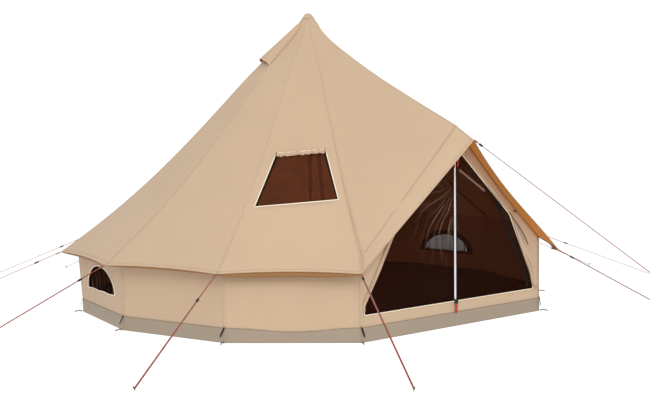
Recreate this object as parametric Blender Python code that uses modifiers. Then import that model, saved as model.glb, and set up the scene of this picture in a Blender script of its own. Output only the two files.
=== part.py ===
"""A five metre tipi tent (bell tent) on a thirteen-sided plan, with a ridged canopy over its door.

Metres, +Z up. The origin is on the ground under the top of the centre pole. The door faces -Y,
and left and right are as seen from the front. Cloth is a stand-in thickness, so that it is solid.
"""
import math

import bmesh
import bpy
from mathutils import Matrix, Vector

# Plan: the front corner of the regular polygon is left out, which makes the wide door wall
SIDES = 13
FLOOR_RADIUS = 2.5
SPACING = 2.0 * math.pi / SIDES
HALF_SPACING = SPACING / 2.0
FRONT = -math.pi / 2.0
PANELS_PER_SIDE = 5
DOOR_PLANE = -FLOOR_RADIUS * math.cos(SPACING)
DOOR_CORNER = FLOOR_RADIUS * math.sin(SPACING)

# Cloth, and the gap kept between pieces that touch
CANVAS = 0.004
MESH_CLOTH = 0.002
GAP = 0.0003
SEAM_INSET = 0.001

# Roof: the seams run from the eave corners to the top in a shallow bell curve
EAVE_RADIUS = 2.66
EAVE_HEIGHT = 0.63
TOP_HEIGHT = 3.09
BELL_SAG = 0.204
FOOT_FLARE = 0.189
FOOT_ROW = 0.86
TOP_ROW = 3.045

# Front canopy: its ridge runs from the top over the entrance pole to a tip
RIDGE_AT_DOOR = 1.866
RIDGE_SAG = 0.104
RIDGE_SKEW = 0.53
TIP_REACH = 0.228
TIP_HEIGHT = 1.734
CANOPY_SAG = {-1: 0.0, 1: 0.09}
CANOPY_COLUMNS = 8

# Roof windows, in the gores beside the canopy
ROOF_SILL = 1.19
ROOF_HEAD = 1.605
ROOF_WINDOW_FOOT = 0.377
ROOF_WINDOW_TOP = 0.243
WINDOW_LAP = 0.015
COVER_ROLL_RADIUS = 0.021
COVER_ROLL_OVERHANG = 0.012

# Vents near the top, in the third gore on each side
VENT_PANEL = 3
VENT_FOOT = 2.53
VENT_HEAD = 2.93
VENT_HOLE_HALF_WIDTH = 0.05
HOOD_HEIGHT = 0.055
HOOD_MARGIN = 0.012

# Wall windows, half round
WINDOW_PANEL = 3
WINDOW_SILL = 0.29
WINDOW_RISE = 0.25
WINDOW_HALF_WIDTH = 0.375
ARC_STEPS = 12

# Foot of the wall
SKIRT_HEIGHT = 0.135
SKIRT_CLOTH = 0.003
TIE_REACH = 0.085
TIE_TOP = 0.12
TIE_WIDTH = 0.022
STRAP_STAND_OFF = 0.0037
FLOOR_RIM = 0.09

# Doorway
DOOR_SILL = 0.235
DOOR_APEX = 1.66
DOOR_KNEE_WIDTH = 0.72
DOOR_KNEE_HEIGHT = 1.0
DOOR_FOOT_WIDTH = 1.095
WALL_CLEARANCE = 0.0075
CORNER_INSET = 0.0026
LEAF_FLATNESS = 0.55
LEAF_SPREAD = {-1: 0.0, 1: 0.04}

# Poles
CENTRE_POLE_RADIUS = 0.019
ENTRANCE_POLE_RADIUS = 0.0125
ENTRANCE_POLE_PLANE = DOOR_PLANE + 0.0215
POLE_SHOULDER = 1.848
SPIKE_RADIUS = 0.004
SPIKE_TOP = 1.925
POLE_STEPS = 16

# Guy ropes
ROPE_RADIUS = 0.0025
GUY_PEG_RADIUS = 4.2
FRONT_PEG_DISTANCE = 5.6
RUNNER_REACH = {(-1, 1): 0.08, (-1, 2): 0.42, (-1, 3): 0.27, (1, 1): 0.17}
RUNNER_DEFAULT = 0.25
RUNNER_LENGTH = 0.06
RUNNER_WIDTH = 0.016
PEG_RADIUS = 0.005

COLOURS = {
    "canvas": (0.65, 0.47, 0.30, 1.0),
    "skirt": (0.42, 0.36, 0.28, 1.0),
    "mesh": (0.06, 0.03, 0.02, 1.0),
    "groundsheet": (0.20, 0.19, 0.18, 1.0),
    "steel": (0.75, 0.75, 0.75, 1.0),
    "rope": (0.55, 0.09, 0.05, 1.0),
}


def clear_scene():
    """Remove whatever the opening scene holds."""
    for old in list(bpy.data.objects):
        bpy.data.objects.remove(old, do_unlink=True)


def new_collection(name):
    """Make a collection in the scene."""
    made = bpy.data.collections.new(name)
    bpy.context.scene.collection.children.link(made)
    return made


def finish(name):
    """Return the material of one finish, made once."""
    found = bpy.data.materials.get(name)
    if found:
        return found
    made = bpy.data.materials.new(name)
    made.use_nodes = True
    shader = made.node_tree.nodes["Principled BSDF"]
    shader.inputs["Base Color"].default_value = COLOURS[name]
    shader.inputs["Roughness"].default_value = 0.35 if name == "steel" else 0.9
    shader.inputs["Metallic"].default_value = 1.0 if name == "steel" else 0.0
    made.diffuse_color = COLOURS[name]
    return made


clear_scene()
PARTS = new_collection("tipi_tent")
CUTTERS = new_collection("cutters")


def add_object(name, mesh, finish_name):
    """Put a mesh in the tent's collection as a named object with a finish."""
    made = bpy.data.objects.new(name, mesh)
    mesh.materials.clear()
    mesh.materials.append(finish(finish_name))
    PARTS.objects.link(made)
    return made


def turn_outward(bm):
    """Make the faces of a closed bmesh point out."""
    bmesh.ops.recalc_face_normals(bm, faces=bm.faces)


def mesh_from(bm, name):
    """Turn a bmesh into a mesh and free it."""
    mesh = bpy.data.meshes.new(name)
    bm.to_mesh(mesh)
    bm.free()
    return mesh


def sheet_mesh(name, columns, rows, place):
    """Make an open sheet from a grid, whose points place(u, v) sets, with u and v from 0 to 1."""
    bm = bmesh.new()
    bmesh.ops.create_grid(bm, x_segments=columns, y_segments=rows, size=1.0)
    for vertex in bm.verts:
        u = (vertex.co.x + 1.0) / 2.0
        v = (vertex.co.y + 1.0) / 2.0
        vertex.co = place(u, v)
    return mesh_from(bm, name)


def thicken(item, thickness, inward=True):
    """Give an open sheet its thickness, on its inner side unless told otherwise."""
    solid = item.modifiers.new("thickness", 'SOLIDIFY')
    solid.thickness = thickness
    solid.offset = -1.0 if inward else 1.0


def outline_mesh(name, points, depth):
    """Make a flat plate in the XZ plane from its outline, depth thick towards +Y, as a mesh."""
    curve = bpy.data.curves.new(name, 'CURVE')
    curve.dimensions = '2D'
    curve.fill_mode = 'BOTH'
    curve.extrude = depth / 2.0
    spline = curve.splines.new('POLY')
    spline.points.add(len(points) - 1)
    for point, (x, z) in zip(spline.points, points):
        point.co = (x, z, 0.0, 1.0)
    spline.use_cyclic_u = True
    return upright_mesh(curve, name, depth)


def upright_mesh(curve, name, depth):
    """Convert a flat extruded curve to a closed mesh that stands in the XZ plane."""
    holder = bpy.data.objects.new(name, curve)
    bpy.context.scene.collection.objects.link(holder)
    bpy.context.view_layer.update()
    evaluated = holder.evaluated_get(bpy.context.evaluated_depsgraph_get())
    mesh = bpy.data.meshes.new_from_object(evaluated)
    mesh.name = name
    bpy.data.objects.remove(holder, do_unlink=True)
    bm = bmesh.new()
    bm.from_mesh(mesh)
    bmesh.ops.remove_doubles(bm, verts=bm.verts, dist=0.00005)
    bmesh.ops.rotate(bm, verts=bm.verts, matrix=Matrix.Rotation(math.pi / 2.0, 3, 'X'))
    bmesh.ops.translate(bm, verts=bm.verts, vec=(0.0, depth / 2.0, 0.0))
    turn_outward(bm)
    bm.to_mesh(mesh)
    bm.free()
    return mesh


def cutter(name, mesh, matrix):
    """Place a mesh as a hidden cutting or joining guide."""
    made = bpy.data.objects.new(name, mesh)
    made.matrix_world = matrix
    made.hide_render = True
    made.display_type = 'WIRE'
    CUTTERS.objects.link(made)
    return made


def combine(item, other, operation):
    """Cut a guide from an object, or join it on."""
    step = item.modifiers.new(other.name, 'BOOLEAN')
    step.operation = operation
    step.object = other
    step.solver = 'EXACT'


def corner_angle(side, number):
    """Return the direction of a corner, numbered 1 to 6 from the door on one side."""
    return FRONT + side * SPACING * number


def panel_angle(side, number):
    """Return the direction that a panel faces, numbered 1 to 5 from the door, or 6 at the back."""
    return FRONT + side * SPACING * (number + 0.5)


def facing(angle):
    """Return the turn that points a panel's own +X axis along a direction of the plan."""
    return Matrix.Rotation(angle, 4, 'Z')


def side_name(side):
    """Name a side of the tent."""
    return "left" if side < 0 else "right"


def seam_radius(height):
    """Return how far a roof seam is from the axis at a height."""
    t = (height - EAVE_HEIGHT) / (TOP_HEIGHT - EAVE_HEIGHT)
    bow = t * (1.0 - t)
    return EAVE_RADIUS * ((1.0 - t) - BELL_SAG * bow - FOOT_FLARE * bow * (1.0 - 2.0 * t))


ROW_HEIGHTS = [
    EAVE_HEIGHT, FOOT_ROW, ROOF_SILL - WINDOW_LAP, ROOF_SILL, (ROOF_SILL + ROOF_HEAD) / 2.0,
    ROOF_HEAD, ROOF_HEAD + WINDOW_LAP, 1.80, 2.05, 2.30, VENT_FOOT - WINDOW_LAP,
    VENT_HEAD + WINDOW_LAP, TOP_ROW,
]


def row_profile():
    """Return the roof's rows as seam radius and height, from the eave up."""
    return [Vector((seam_radius(height), height)) for height in ROW_HEIGHTS]


def row_normals(profile):
    """Return each row's outward direction in the seam's plane, as the average of its facets."""
    facets = []
    for low, high in zip(profile, profile[1:]):
        run = (high - low).normalized()
        facets.append(Vector((run.y, -run.x)))
    normals = [facets[0]]
    for below, above in zip(facets, facets[1:]):
        normals.append((below + above).normalized())
    normals.append(facets[-1])
    return normals


def facet_at(radius):
    """Return the seam height at a radius, read along the straight facets between rows."""
    profile = row_profile()
    for low, high in zip(profile, profile[1:]):
        if high.x <= radius <= low.x:
            share = (low.x - radius) / (low.x - high.x)
            return low.y + share * (high.y - low.y)
    return profile[-1].y


WALL_LINE = facet_at(FLOOR_RADIUS)


def gore_point(row, u, depth=0.0, margin=0.0, half_width=None):
    """Return a point of a gore in its own frame: +X out, +Y along, at a depth below its face."""
    profile = row_profile()
    normal = row_normals(profile)[row]
    radius, height = profile[row]
    half = radius * math.sin(HALF_SPACING) - SEAM_INSET - margin
    if half_width is not None:
        half = half_width
    out = radius * math.cos(HALF_SPACING) - depth * normal.x
    return Vector((out, (2.0 * u - 1.0) * half, height - depth * normal.y))


def gore_mesh():
    """Make the sheet of one roof gore, flat across and curved up its length."""
    last = len(ROW_HEIGHTS) - 1
    return sheet_mesh("roof_gore", 1, last, lambda u, v: gore_point(round(v * last), u))


def facet_frame(height):
    """Return a frame on a gore at a height: X along the gore's width, Y up it, Z out of it."""
    profile = [Vector((p.x * math.cos(HALF_SPACING), p.y)) for p in row_profile()]
    for low, high in zip(profile, profile[1:]):
        if low.y <= height <= high.y:
            share = (height - low.y) / (high.y - low.y)
            foot = low.lerp(high, share)
            run = (high - low).normalized()
            frame = Matrix((
                (0.0, run.x, run.y, foot.x),
                (1.0, 0.0, 0.0, 0.0),
                (0.0, run.y, -run.x, foot.y),
                (0.0, 0.0, 0.0, 1.0),
            ))
            return frame
    return Matrix.Identity(4)


def roof_cutter_mesh(name, low, high, foot_half, top_half):
    """Make a four-sided block that goes through a gore between two heights."""
    reach = 0.06
    bm = bmesh.new()
    bmesh.ops.create_cube(bm, size=2.0)
    for vertex in bm.verts:
        up = vertex.co.y > 0.0
        frame = facet_frame(high if up else low)
        half = top_half if up else foot_half
        vertex.co = frame @ Vector((math.copysign(half, vertex.co.x), 0.0, vertex.co.z * reach))
    turn_outward(bm)
    return mesh_from(bm, name)


def box_mesh(name, low, high):
    """Make a box between two corners."""
    low, high = Vector(low), Vector(high)
    bm = bmesh.new()
    bmesh.ops.create_cube(bm, size=1.0)
    bmesh.ops.scale(bm, verts=bm.verts, vec=high - low)
    bmesh.ops.translate(bm, verts=bm.verts, vec=(low + high) / 2.0)
    return mesh_from(bm, name)


def half_round(half_width, sill, rise):
    """Return the outline of a half-round window, from its right foot over to its left foot."""
    points = []
    for step in range(ARC_STEPS + 1):
        angle = math.pi * step / ARC_STEPS
        points.append((half_width * math.cos(angle), sill + rise * math.sin(angle)))
    return points


def wall_mesh():
    """Make a wall panel in its own frame, mitred at the corners and cut to the roof's slope."""
    apothem = FLOOR_RADIUS * math.cos(HALF_SPACING)
    low, high = row_profile()[:2]
    slope = (high.y - low.y) / ((low.x - high.x) * math.cos(HALF_SPACING))
    drop = (CANVAS + GAP) * math.sqrt(1.0 + slope * slope)
    bm = bmesh.new()
    bmesh.ops.create_cube(bm, size=2.0)
    for vertex in bm.verts:
        out = apothem if vertex.co.x > 0.0 else apothem - CANVAS
        half = out * math.tan(HALF_SPACING) - GAP
        top = WALL_LINE + (apothem - out) * slope - drop
        height = top if vertex.co.z > 0.0 else 0.0
        vertex.co = (out, math.copysign(half, vertex.co.y), height)
    turn_outward(bm)
    return mesh_from(bm, "wall_panel")


def all_panels():
    """List the panels round the tent as name, side and number; the back one is number 6."""
    panels = [("back", 1, PANELS_PER_SIDE + 1)]
    for side in (-1, 1):
        for number in range(1, PANELS_PER_SIDE + 1):
            panels.append((f"{side_name(side)}_{number}", side, number))
    return panels


def window_name(panel):
    """Name a wall window after its side: a panel's own number is left off."""
    return panel.split("_")[0]


def build_walls():
    """Build the wall panels, with a half-round window in every third one."""
    mesh = wall_mesh()
    apothem = FLOOR_RADIUS * math.cos(HALF_SPACING)
    hole = outline_mesh("window_hole", half_round(WINDOW_HALF_WIDTH, WINDOW_SILL, WINDOW_RISE), 0.04)
    lap = WINDOW_LAP
    pane_outline = half_round(WINDOW_HALF_WIDTH + lap, WINDOW_SILL - lap, WINDOW_RISE + 2.0 * lap)
    pane = outline_mesh("window_pane", pane_outline, MESH_CLOTH)
    stand = Matrix.Rotation(math.pi / 2.0, 4, 'Z')
    for name, side, number in all_panels():
        turn = facing(panel_angle(side, number))
        wall = add_object(f"wall_{name}", mesh.copy(), "canvas")
        wall.matrix_world = turn
        if number % WINDOW_PANEL == 0:
            through = Matrix.Translation((apothem + 0.02, 0.0, 0.0)) @ stand
            guide = cutter(f"cut_{name}", hole, turn @ through)
            combine(wall, guide, 'DIFFERENCE')
            behind = Matrix.Translation((apothem - CANVAS - GAP, 0.0, 0.0)) @ stand
            window = add_object(f"window_mesh_{window_name(name)}", pane.copy(), "mesh")
            window.matrix_world = turn @ behind


def build_roof():
    """Build the roof gores, with the roof windows and the vents cut through."""
    mesh = gore_mesh()
    window_hole = roof_cutter_mesh(
        "roof_window_hole", ROOF_SILL, ROOF_HEAD, ROOF_WINDOW_FOOT, ROOF_WINDOW_TOP)
    vent_hole = roof_cutter_mesh(
        "vent_hole", VENT_FOOT + 0.05, VENT_HEAD - 0.08,
        VENT_HOLE_HALF_WIDTH, VENT_HOLE_HALF_WIDTH * 0.6)
    for name, side, number in all_panels():
        turn = facing(panel_angle(side, number))
        gore = add_object(f"roof_{name}", mesh.copy(), "canvas")
        gore.matrix_world = turn
        thicken(gore, CANVAS)
        if number == 1:
            combine(gore, cutter(f"cut_roof_{name}", window_hole, turn), 'DIFFERENCE')
            build_roof_window(side_name(side), turn)
        if number == VENT_PANEL:
            combine(gore, cutter(f"cut_vent_{name}", vent_hole, turn), 'DIFFERENCE')
            build_vent_hood(side_name(side), turn)


def build_roof_window(name, turn):
    """Build the mesh under a roof window and the rolled cover above it."""
    first = ROW_HEIGHTS.index(ROOF_SILL - WINDOW_LAP)
    last = ROW_HEIGHTS.index(ROOF_HEAD + WINDOW_LAP)

    def place(u, v):
        row = first + round(v * (last - first))
        half = ROOF_WINDOW_FOOT + (ROOF_WINDOW_TOP - ROOF_WINDOW_FOOT) * v + WINDOW_LAP
        return gore_point(row, u, depth=CANVAS + GAP, half_width=half)

    pane = add_object(
        f"roof_window_mesh_{name}", sheet_mesh("roof_window", 1, last - first, place), "mesh")
    pane.matrix_world = turn
    thicken(pane, MESH_CLOTH)

    bm = bmesh.new()
    length = 2.0 * (ROOF_WINDOW_TOP + COVER_ROLL_OVERHANG)
    bmesh.ops.create_cone(bm, cap_ends=True, segments=8, radius1=COVER_ROLL_RADIUS,
                          radius2=COVER_ROLL_RADIUS, depth=length)
    bmesh.ops.rotate(bm, verts=bm.verts, matrix=Matrix.Rotation(math.pi / 8.0, 3, 'Z'))
    bmesh.ops.rotate(bm, verts=bm.verts, matrix=Matrix.Rotation(math.pi / 2.0, 3, 'Y'))
    lift = COVER_ROLL_RADIUS * math.cos(math.pi / 8.0) + GAP
    roll = add_object(f"roof_window_cover_{name}", mesh_from(bm, "cover_roll"), "canvas")
    roll_height = ROOF_HEAD + 2.0 * WINDOW_LAP + COVER_ROLL_RADIUS * 0.5
    roll.matrix_world = turn @ facet_frame(roll_height) @ Matrix.Translation((0.0, 0.0, lift))


def build_vent_hood(name, turn):
    """Build the arched hood over a vent, open at its lower end."""
    columns, rows = 8, 4

    def place(u, v):
        height = VENT_FOOT + (VENT_HEAD - VENT_FOOT) * v
        frame = facet_frame(height)
        half = seam_radius(height) * math.sin(HALF_SPACING) - HOOD_MARGIN
        angle = math.pi * (1.0 - u)
        lift = 0.0006 + HOOD_HEIGHT * (1.0 - v) * math.sin(angle)
        return frame @ Vector((half * math.cos(angle), 0.0, lift))

    hood = add_object(f"vent_hood_{name}", sheet_mesh("vent_hood", columns, rows, place), "canvas")
    hood.matrix_world = turn
    thicken(hood, CANVAS * 0.75, inward=False)


def ridge_point(share):
    """Return a point of the ridge between the top, at 0, and the entrance pole, at 1."""
    bow = 4.0 * share * (1.0 - share) * RIDGE_SAG * (1.0 + RIDGE_SKEW * (1.0 - 2.0 * share))
    return Vector((0.0, DOOR_PLANE * share, TOP_HEIGHT + (RIDGE_AT_DOOR - TOP_HEIGHT) * share - bow))


CANOPY_ROWS = [EAVE_HEIGHT, WALL_LINE] + ROW_HEIGHTS[1:]


def canopy_point(u, row):
    """Return a point of the canopy: u runs from the left seam over the ridge to the right seam."""
    height = CANOPY_ROWS[row]
    side = -1 if u < 0.5 else 1
    across = abs(2.0 * u - 1.0)
    angle = corner_angle(side, 1)
    radius = FLOOR_RADIUS if row == 1 else seam_radius(height)
    seam = Vector((radius * math.cos(angle), radius * math.sin(angle), height))
    share = 1.0 - (height - WALL_LINE) / (TOP_HEIGHT - WALL_LINE)
    ridge = Vector((0.0, DOOR_PLANE - TIP_REACH, TIP_HEIGHT)) if row == 0 else ridge_point(share)
    width = (seam - ridge).length
    across = min(across, 1.0 - SEAM_INSET / width)
    sag = CANOPY_SAG[side] * min(share, 1.0) * 4.0 * across * (1.0 - across)
    return ridge.lerp(seam, across) - Vector((0.0, 0.0, sag))


def canopy_height(side, across):
    """Return the height of the canopy's face in the plane of the door, at a share of its width."""
    return canopy_point(0.5 + side * across / 2.0, 1).z


def build_canopy():
    """Build the folded front panel and cut the hole for the entrance pole's spike."""
    last = len(CANOPY_ROWS) - 1
    mesh = sheet_mesh(
        "front_canopy", CANOPY_COLUMNS, last, lambda u, v: canopy_point(u, round(v * last)))
    canopy = add_object("front_canopy", mesh, "canvas")
    thicken(canopy, CANVAS)
    bm = bmesh.new()
    bmesh.ops.create_cone(bm, cap_ends=True, segments=12, radius1=SPIKE_RADIUS + 0.0006,
                          radius2=SPIKE_RADIUS + 0.0006, depth=0.2)
    place = Matrix.Translation((0.0, ENTRANCE_POLE_PLANE, RIDGE_AT_DOOR))
    combine(canopy, cutter("cut_spike", mesh_from(bm, "spike_hole"), place), 'DIFFERENCE')


def turned(name, profile, steps, finish_name):
    """Turn a profile of radius and height round the Z axis with a Screw modifier."""
    bm = bmesh.new()
    made = [bm.verts.new((radius, 0.0, height)) for radius, height in profile]
    for first, second in zip(made, made[1:]):
        bm.edges.new((first, second))
    item = add_object(name, mesh_from(bm, name), finish_name)
    turn = item.modifiers.new("turn", 'SCREW')
    turn.steps = steps
    turn.render_steps = steps
    turn.use_merge_vertices = True
    turn.merge_threshold = 0.00001
    return item


def build_poles():
    """Build the centre pole, the entrance pole with its spike, and the cap on the top."""
    floor = CANVAS + 2.0 * GAP
    shoulder = TOP_HEIGHT - 0.075
    turned("centre_pole", [
        (0.0, TOP_HEIGHT - 0.028), (0.008, TOP_HEIGHT - 0.028), (0.008, shoulder),
        (CENTRE_POLE_RADIUS, shoulder), (CENTRE_POLE_RADIUS, floor + 0.03),
        (0.03, floor + 0.03), (0.03, floor), (0.0, floor),
    ], POLE_STEPS, "steel")
    pole = turned("entrance_pole", [
        (0.0, SPIKE_TOP), (SPIKE_RADIUS * 0.8, SPIKE_TOP), (SPIKE_RADIUS, SPIKE_TOP - 0.005),
        (SPIKE_RADIUS, POLE_SHOULDER), (ENTRANCE_POLE_RADIUS, POLE_SHOULDER - 0.002),
        (ENTRANCE_POLE_RADIUS, floor), (0.0, floor),
    ], POLE_STEPS, "steel")
    pole.location.y = ENTRANCE_POLE_PLANE
    top = TOP_HEIGHT - 0.0130
    cap = turned("apex_cap", [
        (0.0, top), (0.020, top - 0.001), (0.031, top - 0.006), (0.089, top - 0.053),
        (0.088, top - 0.058), (0.029, top - 0.0105), (0.019, top - 0.0055), (0.0, top - 0.005),
    ], 2 * SIDES, "canvas")
    cap.rotation_euler.z = FRONT


def door_edge(height):
    """Return half the width of the doorway at a height."""
    if height <= DOOR_KNEE_HEIGHT:
        share = (height - DOOR_SILL) / (DOOR_KNEE_HEIGHT - DOOR_SILL)
        return DOOR_FOOT_WIDTH + share * (DOOR_KNEE_WIDTH - DOOR_FOOT_WIDTH)
    return DOOR_KNEE_WIDTH * (DOOR_APEX - height) / (DOOR_APEX - DOOR_KNEE_HEIGHT)


def build_door_wall():
    """Build the door wall as a sill below the doorway and a piece on each side of it."""
    edge = DOOR_CORNER - CORNER_INSET
    sill_mesh = box_mesh("door_sill", (-edge, DOOR_PLANE, 0.0), (edge, DOOR_PLANE + CANVAS, DOOR_SILL))
    add_object("door_sill", sill_mesh, "canvas")
    half = CANOPY_COLUMNS // 2
    for side in (-1, 1):
        outline = [
            (GAP, DOOR_APEX), (DOOR_KNEE_WIDTH, DOOR_KNEE_HEIGHT),
            (DOOR_FOOT_WIDTH, DOOR_SILL + GAP), (edge, DOOR_SILL + GAP),
            (edge, canopy_height(side, edge / DOOR_CORNER) - WALL_CLEARANCE),
        ]
        for column in range(half - 1, 0, -1):
            across = column / half
            point = canopy_point(0.5 + side * across / 2.0, 1)
            outline.append((abs(point.x), point.z - WALL_CLEARANCE))
        outline.append((GAP, RIDGE_AT_DOOR - WALL_CLEARANCE))
        outline = [(side * x, z) for x, z in outline]
        wall = add_object(
            f"door_wall_{side_name(side)}", outline_mesh("door_wall", outline, CANVAS), "canvas")
        wall.location.y = DOOR_PLANE


def build_door_meshes():
    """Build the two mesh leaves, which run from the doorway's edge to behind the pole."""
    rows = 10
    lap = 0.02
    edge_plane = DOOR_PLANE + CANVAS + GAP
    middle_plane = ENTRANCE_POLE_PLANE + ENTRANCE_POLE_RADIUS + 3.0 * GAP
    top = DOOR_APEX + lap
    bend = 0.25
    for side in (-1, 1):

        def place(u, v):
            height = DOOR_SILL - lap + (top - DOOR_SILL + lap) * v
            reach = max(door_edge(height), 0.0) + lap
            out = GAP + reach * (u if side > 0 else 1.0 - u)
            share = max(0.0, out - 0.03) / max(reach - 0.03, bend)
            return Vector((side * out, middle_plane + (edge_plane - middle_plane) * share, height))

        leaf = add_object(
            f"door_mesh_{side_name(side)}", sheet_mesh("door_mesh", 4, rows, place), "mesh")
        thicken(leaf, MESH_CLOTH)


def build_door_leaves():
    """Build the canvas door leaves, rolled and tied back along the edges of the doorway."""
    route = [
        (0.06, 1.655, 0.010), (0.28, 1.440, 0.020), (0.56, 1.165, 0.022), (0.735, 1.025, 0.016),
        (0.82, 0.88, 0.024), (0.93, 0.68, 0.030), (1.04, 0.46, 0.030), (1.105, 0.27, 0.026),
    ]
    for side in (-1, 1):
        curve = bpy.data.curves.new("door_leaf", 'CURVE')
        curve.dimensions = '3D'
        curve.bevel_depth = 1.0
        curve.bevel_resolution = 1
        curve.use_fill_caps = True
        spline = curve.splines.new('POLY')
        spline.points.add(len(route) - 1)
        thickest = 0.0
        for point, (x, z, radius) in zip(spline.points, route):
            below = max(0.0, min(1.0, (DOOR_KNEE_HEIGHT - z) / 0.3))
            spread = LEAF_SPREAD[side] * below
            point.co = (side * (x - spread / 2.0), 0.0, z, 1.0)
            point.radius = radius + spread / 4.0
            thickest = max(thickest, point.radius)
        leaf = bpy.data.objects.new(f"door_leaf_{side_name(side)}", curve)
        curve.materials.append(finish("canvas"))
        PARTS.objects.link(leaf)
        leaf.scale.y = LEAF_FLATNESS
        leaf.location.y = DOOR_PLANE - 2.0 * GAP - thickest * LEAF_FLATNESS


def foot_ring(radius):
    """Return the plan's twelve corners at a radius, going round from the door's right corner."""
    ring = [corner_angle(1, number) for number in range(1, PANELS_PER_SIDE + 2)]
    ring += [corner_angle(-1, number) for number in range(PANELS_PER_SIDE + 1, 0, -1)]
    return [Vector((radius * math.cos(angle), radius * math.sin(angle), 0.0)) for angle in ring]


def build_groundsheet():
    """Build the floor as a shallow tray inside the walls."""
    inset = (CANVAS + 2.0 * GAP) / math.cos(HALF_SPACING)
    bm = bmesh.new()
    foot = [bm.verts.new(corner) for corner in foot_ring(FLOOR_RADIUS - inset)]
    floor = bm.faces.new(foot)
    floor.normal_flip()
    rim = bmesh.ops.extrude_edge_only(bm, edges=bm.edges[:])["geom"]
    lifted = [item for item in rim if isinstance(item, bmesh.types.BMVert)]
    bmesh.ops.translate(bm, verts=lifted, vec=(0.0, 0.0, FLOOR_RIM))
    bmesh.ops.recalc_face_normals(bm, faces=bm.faces)
    tray = add_object("groundsheet", mesh_from(bm, "groundsheet"), "groundsheet")
    if tray.data.polygons[0].normal.z > 0.0:
        tray.data.flip_normals()
    thicken(tray, CANVAS)
    tray.modifiers["thickness"].use_even_offset = True


def strap_mesh(corner):
    """Make the strap that runs from a corner of the skirt out to its peg."""
    out = corner.normalized()
    along = Vector((-out.y, out.x, 0.0))
    top = corner + Vector((0.0, 0.0, TIE_TOP)) + out * STRAP_STAND_OFF
    low = corner + Vector((0.0, 0.0, 0.012)) + out * TIE_REACH
    run = (low - top).normalized()
    across = run.cross(along).normalized()
    frame = Matrix((along, across, run)).transposed().to_4x4()
    frame.translation = (top + low) / 2.0
    half = Vector((TIE_WIDTH, 0.004, (low - top).length)) / 2.0
    strap = box_mesh("strap", -half, half)
    strap.transform(frame)
    return strap


def peg_mesh(corner):
    """Make the upright peg at the low end of a corner's strap."""
    foot = corner + corner.normalized() * (TIE_REACH - 0.006)
    return rod_mesh("peg", foot, foot + Vector((0.0, 0.0, 0.034)), PEG_RADIUS, 8)


def build_skirt():
    """Build the band round the foot of the walls, with a strap and a peg at each corner."""
    ring = foot_ring(FLOOR_RADIUS + 2.0 * GAP / math.cos(HALF_SPACING))
    bm = bmesh.new()
    low = [bm.verts.new(corner) for corner in ring]
    edges = [bm.edges.new((first, second)) for first, second in zip(low, low[1:] + low[:1])]
    raised = bmesh.ops.extrude_edge_only(bm, edges=edges)["geom"]
    lifted = [item for item in raised if isinstance(item, bmesh.types.BMVert)]
    bmesh.ops.translate(bm, verts=lifted, vec=(0.0, 0.0, SKIRT_HEIGHT))
    for face in bm.faces:
        face.normal_update()
        if face.normal.dot(face.calc_center_median()) < 0.0:
            face.normal_flip()
    skirt = add_object("ground_skirt", mesh_from(bm, "ground_skirt"), "skirt")
    thicken(skirt, SKIRT_CLOTH, inward=False)
    skirt.modifiers["thickness"].use_even_offset = True
    for number, corner in enumerate(ring):
        strap = cutter(f"strap_{number}", strap_mesh(corner), Matrix.Identity(4))
        peg = cutter(f"peg_{number}", peg_mesh(corner), Matrix.Identity(4))
        combine(skirt, strap, 'UNION')
        combine(skirt, peg, 'UNION')


def rod_mesh(name, start, end, radius, sides):
    """Make a straight round rod between two points."""
    run = end - start
    bm = bmesh.new()
    bmesh.ops.create_cone(bm, cap_ends=True, segments=sides, radius1=radius, radius2=radius,
                          depth=run.length)
    turn = run.to_track_quat('Z', 'Y').to_matrix().to_4x4()
    turn.translation = (start + end) / 2.0
    bmesh.ops.transform(bm, verts=bm.verts, matrix=turn)
    return mesh_from(bm, name)


def build_guy(name, start, end, reach, turn):
    """Build one guy in its own frame, +X out: its rope, the runner on it, and its peg."""
    run = (end - start).normalized()
    rope = add_object(name, rod_mesh("rope", start, end, ROPE_RADIUS, 8), "rope")
    rope.matrix_world = turn
    runner_start = start + run * reach
    runner = bmesh.new()
    bmesh.ops.create_cube(runner, size=1.0)
    bmesh.ops.scale(runner, verts=runner.verts, vec=(RUNNER_WIDTH, RUNNER_WIDTH * 0.6, RUNNER_LENGTH))
    place = run.to_track_quat('Z', 'Y').to_matrix().to_4x4()
    place.translation = runner_start
    combine(rope, cutter(f"{name}_runner", mesh_from(runner, "runner"), turn @ place), 'UNION')
    foot = Vector((end.x - 0.012, 0.0, 0.003))
    head = Vector((end.x + 0.008, 0.0, 0.033))
    peg = rod_mesh("peg", foot, head, PEG_RADIUS, 8)
    combine(rope, cutter(f"{name}_peg", peg, turn), 'UNION')


def eave_hold():
    """Return where a rope takes hold of an eave corner: just off the middle of the hem."""
    low, high = row_profile()[:2]
    run = (low - high).normalized()
    normal = row_normals(row_profile())[0]
    hold = low - normal * CANVAS * 0.5 + run * 0.0012
    return Vector((hold.x, 0.0, hold.y))


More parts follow.
